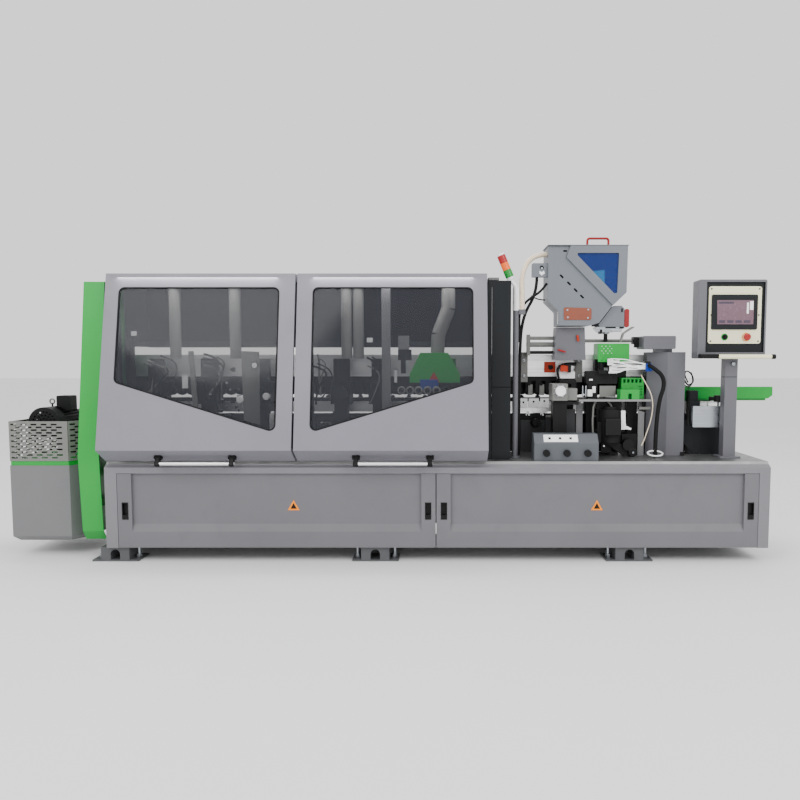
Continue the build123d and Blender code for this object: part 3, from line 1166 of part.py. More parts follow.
NODES = {
    "base_frame": base_frame(),
    "bed_plate": bed_plate(),
    "front_fascia": front_fascia(),
    "feet": feet(),
    "levelling_bolts": levelling_bolts(),
    "service_panel_left": service_panel(BASE_X0 + FASCIA_POST_L + PANEL_GAP, PANEL_SEAM_X - PANEL_GAP),
    "service_panel_right": service_panel(PANEL_SEAM_X + PANEL_GAP, BASE_X1 - FASCIA_POST_R - PANEL_GAP),
    "electrical_cabinet": electrical_cabinet(),
    "motor_guard": motor_guard(),
    "feed_motor": feed_motor(),
    "end_cover": end_cover(),
    "hood_shell": hood_shell() + hood_end_panel(),
    "hood_door_left": hood_door(-1),
    "hood_door_right": hood_door(1),
    "hood_window_left": hood_window(-1),
    "hood_window_right": hood_window(1),
    "door_handle_left": door_handle(-1),
    "door_handle_right": door_handle(1),
    "feed_track": chain_track() + sprocket_bearings() + support_sleeves(),
    "chain_pads": chain_pads(),
    "drive_sprocket": sprocket(FEED_X0 + 74),
    "idler_sprocket": sprocket(FEED_X1 - 74),
    "pressure_beam": pressure_beam(),
    "beam_rollers": beam_rollers(),
    "beam_columns": beam_columns(),
    "lift_screw": lift_screw(COLUMN_X[1]),
    "support_extension": support_extension(),
    "knob_box": knob_box(),
    "regulator_knob_1": regulator_knob(KNOB_X[0]),
    "regulator_knob_2": regulator_knob(KNOB_X[1]),
    "regulator_knob_3": regulator_knob(KNOB_X[2]),
    "glue_pot": glue_pot(),
    "glue_dial": glue_dial(),
    "glue_roller": glue_roller(),
    "hopper_pedestal": hopper_pedestal(),
    "hopper_body": hopper_body() + hopper_hinge(),
    "hopper_window": hopper_window(),
    "hopper_lid": hopper_lid(),
    "melter_head": melter_head(),
    "melter_gate": melter_gate(),
    "guide_table": guide_table(),
    "tape_magazine": tape_magazine(),
    "guillotine": guillotine(),
    "press_block": press_block(),
    "press_roller": press_roller(),
    "carriage_tubes": carriage_tubes(),
    "infeed_pillar": infeed_pillar(),
    "infeed_guide": infeed_guide(),
    "fence_arm": fence_arm(),
    "arm_lever": arm_knob(),
    "panel_post": panel_post(),
    "control_panel": control_panel() + panel_handle(),
    "panel_plate": panel_plate(),
    "stop_button": stop_button(),
    "selector_switch": selector_switch(),
    "signal_tower": signal_mast() + signal_lenses(),
    "unit_internals": trim_units() + dust_ducts(),
    "hopper_hose": cord(HOSE_ROUTE, HOSE_R, HOSE_BEND),
    "mast_conduit": cord(CONDUIT_ROUTE, CONDUIT_R, CONDUIT_BEND),
    "pillar_hose": cord(AIR_ROUTE, AIR_R, AIR_BEND),
}

os.makedirs("parts", exist_ok=True)
for name, solids in NODES.items():
    pieces = [solid for piece in solids for solid in piece.solids()]
    if pieces:
        export_step(Compound(label=name, children=pieces), f"parts/{name}.step")
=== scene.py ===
import math
import random
import bpy
import bmesh
from mathutils import Matrix, Vector


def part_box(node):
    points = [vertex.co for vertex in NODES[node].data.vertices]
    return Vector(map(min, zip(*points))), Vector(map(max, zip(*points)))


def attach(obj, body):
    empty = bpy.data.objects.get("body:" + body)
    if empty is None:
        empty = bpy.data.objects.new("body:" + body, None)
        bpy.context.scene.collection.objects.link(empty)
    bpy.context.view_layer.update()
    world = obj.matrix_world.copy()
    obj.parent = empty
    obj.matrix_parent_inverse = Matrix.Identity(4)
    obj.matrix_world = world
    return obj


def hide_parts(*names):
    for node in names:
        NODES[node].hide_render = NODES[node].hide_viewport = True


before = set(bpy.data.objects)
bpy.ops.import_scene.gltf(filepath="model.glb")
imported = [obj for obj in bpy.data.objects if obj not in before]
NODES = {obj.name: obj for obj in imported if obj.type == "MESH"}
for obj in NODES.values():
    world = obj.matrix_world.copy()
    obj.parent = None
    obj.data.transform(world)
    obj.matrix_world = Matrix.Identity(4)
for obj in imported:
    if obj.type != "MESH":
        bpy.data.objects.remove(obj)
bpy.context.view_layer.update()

# Edge banding machine: looks. Everything is in metres, in the frame of the CAD model.
RNG = random.Random(3)


# ---- Camera ----

CAMERA_AT = (0.220, -4.530, 1.142)
CAMERA_PITCH = 4.486
CAMERA_LENS = 33.19
CAMERA_SHIFT = (-0.05125, 0.0223)


def add_camera():
    """Camera at the viewing angle of a person in front of the machine."""
    data = bpy.data.cameras.new("camera")
    camera = bpy.data.objects.new("camera", data)
    bpy.context.scene.collection.objects.link(camera)
    camera.location = CAMERA_AT
    camera.rotation_euler = (math.radians(90 - CAMERA_PITCH), 0, 0)
    data.lens = CAMERA_LENS
    data.shift_x, data.shift_y = CAMERA_SHIFT
    data.clip_end = 100
    bpy.context.scene.camera = camera


add_camera()


# ---- Hoses: the same routes as in the CAD model, in metres ----

HOSES = {
    "hopper_hose": {
        "route": [(0.852, -0.060, 1.770), (0.770, -0.060, 1.770), (0.694, -0.130, 1.660),
                  (0.689, -0.230, 1.490), (0.689, -0.230, 1.433)],
        "radius": 0.015,
    },
    "mast_conduit": {
        "route": [(0.790, -0.090, 1.632), (0.790, -0.090, 1.540), (0.702, -0.140, 1.400),
                  (0.679, -0.190, 1.180), (0.679, -0.190, 0.570)],
        "radius": 0.009,
    },
    "pillar_hose": {
        "route": [(1.443, -0.150, 1.112), (1.443, -0.205, 1.112), (1.545, -0.205, 1.030),
                  (1.484, -0.205, 0.860), (1.484, -0.205, 0.570)],
        "radius": 0.012,
    },
}
SPLINE_ORDER = 3


def nurbs_curve(name, route, radius):
    """A smooth round tube along control points."""
    data = bpy.data.curves.new(name, "CURVE")
    data.dimensions = "3D"
    data.bevel_depth = 1.0
    data.bevel_resolution = 5
    data.resolution_u = 16
    data.use_fill_caps = True
    spline = data.splines.new("NURBS")
    spline.points.add(len(route) - 1)
    for point, place in zip(spline.points, route):
        point.co = (*place, 1.0)
        point.radius = radius
    spline.order_u = SPLINE_ORDER
    spline.use_endpoint_u = True
    piece = bpy.data.objects.new(name, data)
    bpy.context.scene.collection.objects.link(piece)
    return piece


def spline_length(piece):
    """Length of a curve's line, in metres."""
    depth = piece.data.bevel_depth
    piece.data.bevel_depth = 0.0
    bpy.context.view_layer.update()
    mesh = bpy.data.meshes.new_from_object(piece.evaluated_get(bpy.context.evaluated_depsgraph_get()))
    piece.data.bevel_depth = depth
    places = [vertex.co for vertex in mesh.vertices]
    return sum((places[edge.vertices[0]] - places[edge.vertices[1]]).length for edge in mesh.edges)


# ---- Materials ----

VIEW_MIDDLE, VIEW_SLOPE = 0.18, 0.115
SATURATION = 1.25
METAL_LIGHT = 1.25
DARK_GLOSS, PAINT_GLOSS = 0.15, 0.35

def tone(red, green, blue, light=2.0):
    """Surface colour that shows as a display colour under the studio light and the view curve."""
    mean = (red + green + blue) / 3
    shown = [(mean + (value - mean) * SATURATION) / 255 for value in (red, green, blue)]
    lit = [VIEW_MIDDLE * 2 ** ((value - 0.5) / VIEW_SLOPE) for value in shown]
    return tuple(min(value / light, 0.95) for value in lit) + (1.0,)


def scaled(colour, factor):
    """A colour made lighter or darker."""
    return tuple(min(channel * factor, 1.0) for channel in colour[:3]) + (1.0,)


class Material:
    """A node material that is put together a few nodes at a time."""

    def __init__(self, name):
        self.material = bpy.data.materials.new(name)
        self.material.use_nodes = True
        self.tree = self.material.node_tree
        self.shader = self.tree.nodes["Principled BSDF"]
        self.coords = self.node("ShaderNodeTexCoord").outputs["Object"]

    def node(self, kind, **values):
        """A new node with the given attributes."""
        made = self.tree.nodes.new(kind)
        for key, value in values.items():
            setattr(made, key, value)
        return made

    def link(self, output, node, socket):
        """Joins an output to a node's input."""
        self.tree.links.new(output, node.inputs[socket])

    def stretched(self, scale):
        """Object coordinates stretched by a scale along each axis."""
        mapping = self.node("ShaderNodeMapping")
        mapping.inputs["Scale"].default_value = scale
        self.link(self.coords, mapping, "Vector")
        return mapping.outputs["Vector"]

    def noise(self, scale, detail=4.0, rough=0.55, stretch=None):
        """Noise from 0 to 1 over the surface, at a scale in 1/metre."""
        made = self.node("ShaderNodeTexNoise")
        made.inputs["Scale"].default_value = scale
        made.inputs["Detail"].default_value = detail
        made.inputs["Roughness"].default_value = rough
        self.link(self.stretched(stretch) if stretch else self.coords, made, "Vector")
        return made.outputs["Fac"]

    def ramp(self, value, low, high, start=0.0, end=1.0):
        """Maps a value between two limits onto a new span, clamped."""
        made = self.node("ShaderNodeMapRange")
        made.inputs["From Min"].default_value = low
        made.inputs["From Max"].default_value = high
        made.inputs["To Min"].default_value = start
        made.inputs["To Max"].default_value = end
        self.link(value, made, "Value")
        return made.outputs["Result"]

    def blend(self, factor, first, second):
        """Colour between two colours or outputs."""
        made = self.node("ShaderNodeMix", data_type="RGBA")
        self.link(factor, made, 0)
        for index, colour in ((6, first), (7, second)):
            if isinstance(colour, tuple):
                made.inputs[index].default_value = colour
            else:
                self.link(colour, made, index)
        return made.outputs[2]

    def edge_mask(self, radius):
        """1 along outer edges and 0 on flats, from the bevelled normal."""
        bevel = self.node("ShaderNodeBevel", samples=4)
        bevel.inputs["Radius"].default_value = radius
        geometry = self.node("ShaderNodeNewGeometry")
        dot = self.node("ShaderNodeVectorMath", operation="DOT_PRODUCT")
        self.link(bevel.outputs["Normal"], dot, 0)
        self.link(geometry.outputs["Normal"], dot, 1)
        return self.ramp(dot.outputs["Value"], 0.99, 0.80), bevel.outputs["Normal"]

    def bump(self, height, strength, distance, normal=None):
        """Bump of the shader's normal from a height."""
        made = self.node("ShaderNodeBump")
        made.inputs["Strength"].default_value = strength
        made.inputs["Distance"].default_value = distance
        self.link(height, made, "Height")
        if normal is not None:
            self.link(normal, made, "Normal")
        self.link(made.outputs["Normal"], self.shader, "Normal")


def paint(name, colour, rough=0.42, grain=900.0, grain_depth=0.0004, wear_and_highlight=0.35, dirt=0.10, edge=0.0018,
          dark=False):
    """Structured machine paint: fine orange peel, slow tone changes, grime, and lighter edges that are a
    painted highlight broken into chips like worn paint.
    """
    made = Material(name)
    slow = made.noise(1.7, 3.0)
    grime = made.noise(9.0, 6.0, 0.65)
    base = made.blend(made.ramp(slow, 0.3, 0.7), scaled(colour, 0.94), scaled(colour, 1.05))
    base = made.blend(made.ramp(grime, 0.55, 0.85, 0.0, dirt * 2), base, scaled(colour, 0.62))
    mask, normal = made.edge_mask(edge)
    chips = made.ramp(made.noise(140.0, 4.0), 0.42, 0.62)
    # Edge mask times chip noise: a painted highlight along the edges, in patches like worn paint.
    worn_and_lit_edges = made.node("ShaderNodeMath", operation="MULTIPLY")
    made.link(mask, worn_and_lit_edges, 0)
    made.link(chips, worn_and_lit_edges, 1)
    lightened = made.ramp(worn_and_lit_edges.outputs[0], 0.0, 1.0, 0.0, wear_and_highlight)
    made.link(made.blend(lightened, base, scaled(colour, 1.7)), made.shader, "Base Color")
    made.link(made.ramp(grime, 0.3, 0.7, rough - 0.06, rough + 0.10), made.shader, "Roughness")
    made.shader.inputs["Specular IOR Level"].default_value = DARK_GLOSS if dark else PAINT_GLOSS
    made.bump(made.noise(grain, 2.0), 0.2, grain_depth, normal)
    return made.material


def metal(name, colour, rough=0.28, brush=(6.0, 400.0, 400.0), streak=0.20, edge=0.0012):
    """Bare metal with brushed streaks along X, smudges and a painted highlight along the edges."""
    made = Material(name)
    streaks = made.noise(1.0, 6.0, 0.6, stretch=brush)
    smudge = made.noise(14.0, 4.0)
    dull, bright = scaled(colour, 1 - streak), scaled(colour, 1 + streak * 0.6)
    base = made.blend(made.ramp(streaks, 0.3, 0.7), dull, bright)
    mask, normal = made.edge_mask(edge)
    # Edges made lighter: painted highlight.
    highlit_edges = made.blend(made.ramp(mask, 0.0, 1.0, 0.0, 0.4), base, scaled(colour, 1.4))
    made.link(highlit_edges, made.shader, "Base Color")
    made.link(made.ramp(smudge, 0.3, 0.7, rough - 0.07, rough + 0.14), made.shader, "Roughness")
    made.shader.inputs["Metallic"].default_value = 1.0
    made.bump(streaks, 0.12, 0.0003, normal)
    return made.material


def plastic(name, colour, rough=0.38, grain=1400.0, depth=0.0002, coat=0.0, edge=0.001):
    """Moulded plastic or rubber: fine grain, dust in the hollows and paler edges, which are a painted
    highlight.
    """
    made = Material(name)
    dust = made.noise(30.0, 5.0)
    base = made.blend(made.ramp(dust, 0.45, 0.8, 0.0, 0.35), colour, scaled(colour, 1.35))
    mask, normal = made.edge_mask(edge)
    # Edges made paler: painted highlight.
    highlit_edges = made.blend(made.ramp(mask, 0.0, 1.0, 0.0, 0.25), base, scaled(colour, 1.8))
    made.link(highlit_edges, made.shader, "Base Color")
    made.link(made.ramp(dust, 0.3, 0.7, rough - 0.05, rough + 0.12), made.shader, "Roughness")
    made.shader.inputs["Coat Weight"].default_value = coat
    made.shader.inputs["Specular IOR Level"].default_value = PAINT_GLOSS if coat else DARK_GLOSS
    made.bump(made.noise(grain, 2.0), 0.2, depth, normal)
    return made.material


def pane(name, colour, alpha, rough=0.05, tint=0.25):
    """Tinted clear sheet: see-through with faint smears and a clean gloss."""
    made = Material(name)
    smear = made.noise(3.5, 5.0, 0.6, stretch=(1.0, 1.0, 0.4))
    lightened = made.ramp(smear, 0.35, 0.75, 0.0, tint)
    made.link(made.blend(lightened, colour, scaled(colour, 1.6)), made.shader, "Base Color")
    made.link(made.ramp(smear, 0.3, 0.8, rough, rough + 0.10), made.shader, "Roughness")
    made.shader.inputs["Alpha"].default_value = alpha
    made.shader.inputs["Specular IOR Level"].default_value = PAINT_GLOSS
    return made.material


def lens(name, colour, glow=0.25):
    """Ribbed signal lens that glows a little from inside."""
    made = Material(name)
    ribs = made.node("ShaderNodeTexWave", wave_type="BANDS", bands_direction="Z")
    ribs.inputs["Scale"].default_value = 90.0
    made.link(made.coords, ribs, "Vector")
    haze = made.noise(60.0)
    made.link(made.blend(haze, scaled(colour, 0.85), scaled(colour, 1.15)), made.shader, "Base Color")
    made.link(made.ramp(haze, 0.3, 0.7, 0.18, 0.30), made.shader, "Roughness")
    made.shader.inputs["Emission Color"].default_value = colour
    made.shader.inputs["Emission Strength"].default_value = glow
    made.bump(ribs.outputs["Fac"], 0.25, 0.0006)
    return made.material


# ---- Palette ----

GREY = tone(140, 140, 144)
DOOR_GREY = tone(163, 162, 167)
PANEL_GREY = tone(147, 146, 149)
FASCIA_GREY = tone(158, 157, 160)
FOOT_GREY = tone(124, 125, 127)
HOPPER_GREY = tone(152, 155, 159)
BOX_GREY = tone(128, 131, 135)
CABINET_GREY = tone(153, 153, 154)
GUARD_GREY = tone(156, 156, 154)
GREEN = tone(22, 164, 92)
# SHADED_GREEN is GREEN darkened as painted shade, for green faces turned away from the light.
SHADED_GREEN = tone(22, 142, 74)
NIGHT = tone(48, 52, 56)
INSIDE_GREY = tone(72, 73, 80)
SOOT = tone(36, 36, 38)
BLACK = tone(26, 26, 27)
CREAM = tone(222, 221, 208)
WHITE = tone(232, 233, 230)
BED = tone(156, 156, 156, METAL_LIGHT)
STEEL = tone(176, 178, 180, METAL_LIGHT)
ALUMINIUM = tone(214, 214, 216, METAL_LIGHT)
RED = tone(158, 0, 16)
ORANGE = tone(176, 96, 64)
COPPER = tone(160, 116, 96)

LOOKS = {
    "door": paint("door_paint", DOOR_GREY, rough=0.36),
    "grey": paint("grey_paint", GREY),
    "box": paint("box_paint", BOX_GREY),
    "inside": paint("inside_paint", INSIDE_GREY, dark=True),
    "panel_dark": paint("panel_dark_paint", tone(84, 85, 88)),
    "panel": paint("panel_paint", PANEL_GREY, rough=0.45, dirt=0.14),
    "fascia": paint("fascia_paint", FASCIA_GREY, rough=0.42, dirt=0.12),
    "foot": paint("foot_paint", FOOT_GREY, wear_and_highlight=0.6, dirt=0.25),
    "hopper": paint("hopper_paint", HOPPER_GREY),
    "cabinet": paint("cabinet_paint", CABINET_GREY),
    "guard": paint("guard_paint", GUARD_GREY),
    "green": paint("green_paint", GREEN, rough=0.34),
    # Shaded copy of the green paint: painted shade.
    "shaded_green": paint("shaded_green_paint", SHADED_GREEN, rough=0.34),
    "night": paint("night_paint", NIGHT, rough=0.40, dark=True),
    "soot": paint("soot_paint", SOOT, rough=0.45, wear_and_highlight=0.6, dirt=0.3, dark=True),
    "cream": paint("cream_paint", CREAM, rough=0.33, dirt=0.04, wear_and_highlight=0.1),
    "bed": metal("bed_steel", BED, rough=0.42, streak=0.14),
    "steel": metal("bright_steel", STEEL),
    "aluminium": metal("anodised_aluminium", ALUMINIUM, rough=0.38, brush=(2.0, 300.0, 300.0), streak=0.10),
    "black": plastic("black_plastic", BLACK),
    "rubber": plastic("black_rubber", BLACK, rough=0.62, grain=700.0, depth=0.0004),
    "red": plastic("red_plastic", RED, rough=0.25, coat=0.5),
    "red_paint": paint("red_paint", RED, rough=0.30, grain=300.0),
    "orange": plastic("orange_plastic", ORANGE, rough=0.3),
    "white": plastic("white_plastic", WHITE, rough=0.30, coat=0.3),
    "hose": plastic("milky_hose", tone(216, 210, 200), rough=0.25, coat=0.5),
    "tinted": pane("tinted_pane", tone(84, 86, 94), 0.36),
    "blue": pane("blue_pane", tone(40, 82, 140), 0.60, tint=0.5),
    "copper": paint("copper_plate", COPPER, rough=0.35, dirt=0.3),
    "blue_part": plastic("blue_plastic", tone(40, 92, 160), rough=0.3),
    # The granulate bag glows though it is no lamp: painted light.
    "glowing_bag_look": lens("bag_with_painted_glow", tone(130, 210, 245), glow=1.2),
    "yellow": plastic("yellow_plastic", tone(232, 170, 60), rough=0.3),
    "display": lens("display", tone(140, 118, 128), glow=0.25),
    "screen_tile": plastic("screen_tile", tone(120, 112, 124), rough=0.2),
    "white_glow": plastic("screen_glare", tone(236, 236, 238), rough=0.2),
    "red_lens": lens("red_lens", tone(160, 0, 18), glow=0.03),
    "amber_lens": lens("amber_lens", tone(226, 140, 0), glow=0.05),
    "green_lens": lens("green_lens", tone(6, 150, 76), glow=0.05),
}


# ---- CAD nodes: which finish goes where ----

def finish_node(node, looks, chooser=None):
    """Gives a CAD node its finishes; chooser picks an index from a face's centre and normal."""
    mesh = NODES[node].data
    mesh.materials.clear()
    for look in looks:
        mesh.materials.append(LOOKS[look])
    for face in mesh.polygons:
        face.material_index = chooser(face.center, face.normal) if chooser else 0


def span(node, axis):
    """Lowest and highest value of a node along an axis."""
    low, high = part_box(node)
    return low[axis], high[axis]


ONE_FINISH = {
    "base_frame": "cabinet",
    "bed_plate": "bed",
    "front_fascia": "fascia",
    "feet": "foot",
    "levelling_bolts": "steel",
    "motor_guard": "guard",
    "hood_door_left": "door",
    "hood_door_right": "door",
    "hood_window_left": "tinted",
    "hood_window_right": "tinted",
    "hopper_window": "blue",
    "chain_pads": "rubber",
    "drive_sprocket": "steel",
    "idler_sprocket": "steel",
    "beam_rollers": "rubber",
    "beam_columns": "soot",
    "lift_screw": "steel",
    "support_extension": "soot",
    "knob_box": "box",
    **{f"regulator_knob_{index}": "black" for index in (1, 2, 3)},
    "glue_dial": "white",
    "glue_roller": "steel",
    "guillotine": "soot",
    "press_roller": "rubber",
    "tape_magazine": "green",
    "panel_post": "grey",
    "arm_lever": "black",
    "stop_button": "red",
    "selector_switch": "black",
}
for node_name, look_name in ONE_FINISH.items():
    finish_node(node_name, [look_name])

PULL_HALF_W, PULL_Z, PULL_HALF_H = 0.0179, 0.294, 0.049
PULL_INSET = 0.042


def panel_finish(node):
    """Grey lift-off panel with black flush pulls at its ends."""
    left, right = span(node, 0)
    pulls = (left + PULL_INSET, right - PULL_INSET)

    def choose(at, normal):
        beside = min(abs(at.x - pull) for pull in pulls)
        return int(beside < PULL_HALF_W and abs(at.z - PULL_Z) < PULL_HALF_H)
    finish_node(node, ["panel", "black"], choose)


panel_finish("service_panel_left")
panel_finish("service_panel_right")

CABINET_TOP, CABINET_BAND_X = 0.535, -1.8501
COWL_X, COWL_Z = -2.13, 0.878
BEAM_BAND_Z, BEAM_BAND_Y = 1.0399, 0.0695
COVER_INNER_X = -1.7105
finish_node("electrical_cabinet", ["cabinet", "green"],
            lambda at, n: int(at.z > CABINET_TOP + 0.0005 and at.x < CABINET_BAND_X))
finish_node("feed_motor", ["soot", "guard"], lambda at, n: int(at.z > COWL_Z and at.x < COWL_X))
finish_node("pressure_beam", ["aluminium", "soot"],
            lambda at, n: int(at.z < BEAM_BAND_Z or at.y < BEAM_BAND_Y))
# The end cover's right side face takes the shaded green: painted shade on the side away from the light.
finish_node("end_cover", ["green", "shaded_green"], lambda at, n: int(at.x > COVER_INNER_X))

END_PANEL_X, HOOD_INNER_Z = 0.4865, 1.5905
SEAM_AT = -0.594


def hood_choice(at, normal):
    """Painted outside, dark end panel, dark grey inside with a green left wall in the shaded green, which is
    painted shade.
    """
    if at.x > END_PANEL_X and at.z < HOOD_INNER_Z:
        return 1
    if at.x < -1.66 and normal.x > 0.5:
        return 2
    inward = (normal.y < -0.5 and at.y > 0.2) or (normal.z < -0.5 and at.z > 1.5)
    return 3 if inward or abs(at.x - SEAM_AT) < 0.03 or at.z < 1.3 else 0


finish_node("hood_shell", ["door", "night", "shaded_green", "inside"], hood_choice)


def handle_finish(node):
    """Black elbows and an aluminium bar."""
    low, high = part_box(node)
    bar_y, bar_z = -0.4906, 0.5709
    reach = 0.0106
    finish_node(node, ["black", "aluminium"],
                lambda at, n: int(math.hypot(at.y - bar_y, at.z - bar_z) < reach))


handle_finish("door_handle_left")
handle_finish("door_handle_right")

TRACK_RAIL_Z, POT_FOOT_Z, HOPPER_BACK_Y, LID_TOP_Z = 0.812, 0.9045, 0.0801, 1.8152
NOZZLE_Z, HEATER_Z, GATE_PLATE_X = 1.3001, 1.3395, 1.312
TABLE_TOP_Z, PRESS_REAR_Y, PRESS_CAP_Z = 0.8975, -0.0205, 1.1465
GUIDE_FOOT_Z, GUIDE_FRONT_Y, GUIDE_LOW_Z = 0.8925, 0.0215, 0.926
PILLAR_SIDE_X, PILLAR_BOX_Z = 1.4632, 1.15
ARM_KNOB_Y, ARM_KNOB_Z = -0.1175, 0.869
finish_node("feed_track", ["soot", "aluminium"], lambda at, n: int(at.z > TRACK_RAIL_Z))
finish_node("glue_pot", ["guard", "soot"], lambda at, n: int(at.z < POT_FOOT_Z))
finish_node("hopper_body", ["hopper", "steel"], lambda at, n: int(at.y > HOPPER_BACK_Y))
finish_node("hopper_lid", ["hopper", "red_paint"], lambda at, n: int(at.z > LID_TOP_Z))
finish_node("melter_head", ["hopper", "steel", "black"],
            lambda at, n: 2 if at.z < NOZZLE_Z else int(at.z < HEATER_Z))
finish_node("melter_gate", ["red", "steel"], lambda at, n: int(at.x < GATE_PLATE_X))
finish_node("guide_table", ["soot", "bed"], lambda at, n: int(at.z > TABLE_TOP_Z))
finish_node("press_block", ["green", "soot"], lambda at, n: int(at.y > PRESS_REAR_Y and at.z < PRESS_CAP_Z))
# The infeed guide is darker green below GUIDE_LOW_Z: painted shade.
finish_node("infeed_guide", ["green", "shaded_green", "night"],
            lambda at, n: 2 if at.z < GUIDE_FOOT_Z or at.y < GUIDE_FRONT_Y else int(at.z < GUIDE_LOW_Z))
finish_node("infeed_pillar", ["grey", "night"],
            lambda at, n: int(at.x < PILLAR_SIDE_X and at.z < PILLAR_BOX_Z))
finish_node("fence_arm", ["steel", "soot"], lambda at, n: int(at.y > ARM_KNOB_Y or at.z > ARM_KNOB_Z))
TUBE_CLAMP_X, TUBE_HANGER_X, TUBE_HANGER_Z = 1.38, (0.765, 0.903), 1.2


def tubes_choice(at, normal):
    """Grey tubes with a dark clamp on the right and a dark hanger on the left."""
    on_hanger = at.z < TUBE_HANGER_Z and TUBE_HANGER_X[0] < at.x < TUBE_HANGER_X[1]
    return int(at.x > TUBE_CLAMP_X or on_hanger)


finish_node("carriage_tubes", ["guard", "soot"], tubes_choice)


def pedestal_choice(at, normal):
    """Dark columns, a grey box, a red lever and an orange lever."""
    if at.y < -0.0802:
        return 2 if at.x < 1.0 else 3
    return int(at.z < 1.1415)


finish_node("hopper_pedestal", ["grey", "soot", "red_paint", "orange"], pedestal_choice)

MAST_TOP_Z = 1.4255
LAMP_FOOT, LAMP_TOP = Vector((0.622, 0, 1.606)), Vector((0.560, 0, 1.752))
LAMP_SHARES = ((0.075, 1), (0.357, 2), (0.637, 3), (0.917, 4))      # end of each stretch and its finish


def tower_choice(at, normal):
    """Grey mast, white tube, then green, amber and red lenses and a white cap."""
    if at.z < MAST_TOP_Z:
        return 0
    lean = LAMP_TOP - LAMP_FOOT
    share = (Vector((at.x, 0, at.z)) - LAMP_FOOT).dot(lean) / lean.length_squared
    for limit, index in LAMP_SHARES:
        if share < limit:
            return index
    return 1


finish_node("signal_tower", ["grey", "white", "green_lens", "amber_lens", "red_lens"], tower_choice)


def console_choice(at, normal):
    """Grey housing, dark recess, cream bar with black ends."""
    if at.y < -0.2725:
        return 3 if at.x < 1.7998 or at.x > 2.1028 or at.y > -0.295 else 2
    inside = 1.7399 <= at.x <= 2.0741 and 1.1859 <= at.z <= 1.5861
    return int(-0.2715 < at.y < -0.2595 and inside)


finish_node("control_panel", ["grey", "night", "cream", "black"], console_choice)

PLATE_FRONT_Y = -0.2661
SCREEN_X, SCREEN_Z = (1.769, 2.034), (1.315, 1.516)


def plate_choice(at, normal):
    """Cream plate, dark bezel and black screws."""
    if at.y > PLATE_FRONT_Y:
        return 0
    on_screen = SCREEN_X[0] < at.x < SCREEN_X[1] and SCREEN_Z[0] < at.z < SCREEN_Z[1]
    return 1 if on_screen else 2


finish_node("panel_plate", ["cream", "night", "black"], plate_choice)


def units_choice(at, normal):
    """Dark units, light side plates, a green funnel and grey ducts."""
    if at.z > 1.0115 and 0.035 < at.x < 0.335 and at.z < 1.1835:
        return 2
    if at.z > 1.149:
        return 1
    return 3 if at.y < -0.199 and at.z < 0.84 else 0


finish_node("unit_internals", ["soot", "guard", "green", "aluminium"], units_choice)


for hose_name, facts in HOSES.items():
    hose = nurbs_curve(f"{hose_name}_tube", facts["route"], facts["radius"])
    hose.data.materials.append(LOOKS["hose" if hose_name == "hopper_hose" else "rubber"])
    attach(hose, "root")
    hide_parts(hose_name)
    spline_length(hose)


# ---- Builders of added pieces ----

def piece_from(name, bm, look, body, smooth=False):
    """Makes an object from a bmesh, gives it a finish and rides it on a body."""
    mesh = bpy.data.meshes.new(name)
    bm.normal_update()
    bm.to_mesh(mesh)
    bm.free()
    for face in mesh.polygons:
        face.use_smooth = smooth
    piece = bpy.data.objects.new(name, mesh)
    bpy.context.scene.collection.objects.link(piece)
    mesh.materials.append(LOOKS[look])
    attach(piece, body)
    return piece


def add_block(bm, low, high, soft=0.0015):
    """Adds a box with softened edges to a bmesh."""
    size = [high[axis] - low[axis] for axis in range(3)]
    centre = Vector([(high[axis] + low[axis]) / 2 for axis in range(3)])
    made = bmesh.ops.create_cube(bm, size=1.0, matrix=Matrix.Diagonal((*size, 1.0)))
    soft = min(soft, min(size) * 0.3)
    edges = list({edge for vert in made["verts"] for edge in vert.link_edges})
    made = bmesh.ops.bevel(bm, geom=edges, offset=soft, segments=2, affect="EDGES", profile=0.5)
    verts = list({vert for face in made["faces"] for vert in face.verts})
    bmesh.ops.translate(bm, vec=centre, verts=verts)


def add_turned(bm, at, along, profile, sides=28):
    """Adds a turned solid: profile is (distance along, radius) pairs from one end to the other."""
    axis = Vector(along).normalized()
    turn = axis.to_track_quat("Z", "Y").to_matrix()
    rings = []
    for distance, radius in profile:
        ring = []
        for side in range(sides):
            angle = 2 * math.pi * side / sides
            local = Vector((radius * math.cos(angle), radius * math.sin(angle), distance))
            ring.append(bm.verts.new(Vector(at) + turn @ local))
        rings.append(ring)
    for first, second in zip(rings, rings[1:]):
        for side in range(sides):
            after = (side + 1) % sides
            bm.faces.new((first[side], first[after], second[after], second[side]))
    bm.faces.new(rings[0][::-1])
    bm.faces.new(rings[-1])


def add_prism(bm, outline, depth):
    """Adds a plate from a list of 3-D outline points, thickened along a vector."""
    depth = Vector(depth)
    back = [bm.verts.new(Vector(point)) for point in outline]
    front = [bm.verts.new(Vector(point) + depth) for point in outline]
    bm.faces.new(back)
    bm.faces.new(front[::-1])
    count = len(outline)
    for index in range(count):
        after = (index + 1) % count
        bm.faces.new((back[after], back[index], front[index], front[after]))
    bmesh.ops.recalc_face_normals(bm, faces=bm.faces)


def boxes(name, look, rows, body="root"):
    """One piece made of soft-edged boxes, each given as x0, x1, y0, y1, z0, z1."""
    bm = bmesh.new()
    for x0, x1, y0, y1, z0, z1 in rows:
        add_block(bm, (x0, y0, z0), (x1, y1, z1))
    return piece_from(name, bm, look, body)


def plate(name, look, outline, y0, y1, body="root"):
    """A flat plate facing the operator, from an outline of (x, z) points."""
    bm = bmesh.new()
    add_prism(bm, [(x, y1, z) for x, z in outline], (0, y0 - y1, 0))
    return piece_from(name, bm, look, body)


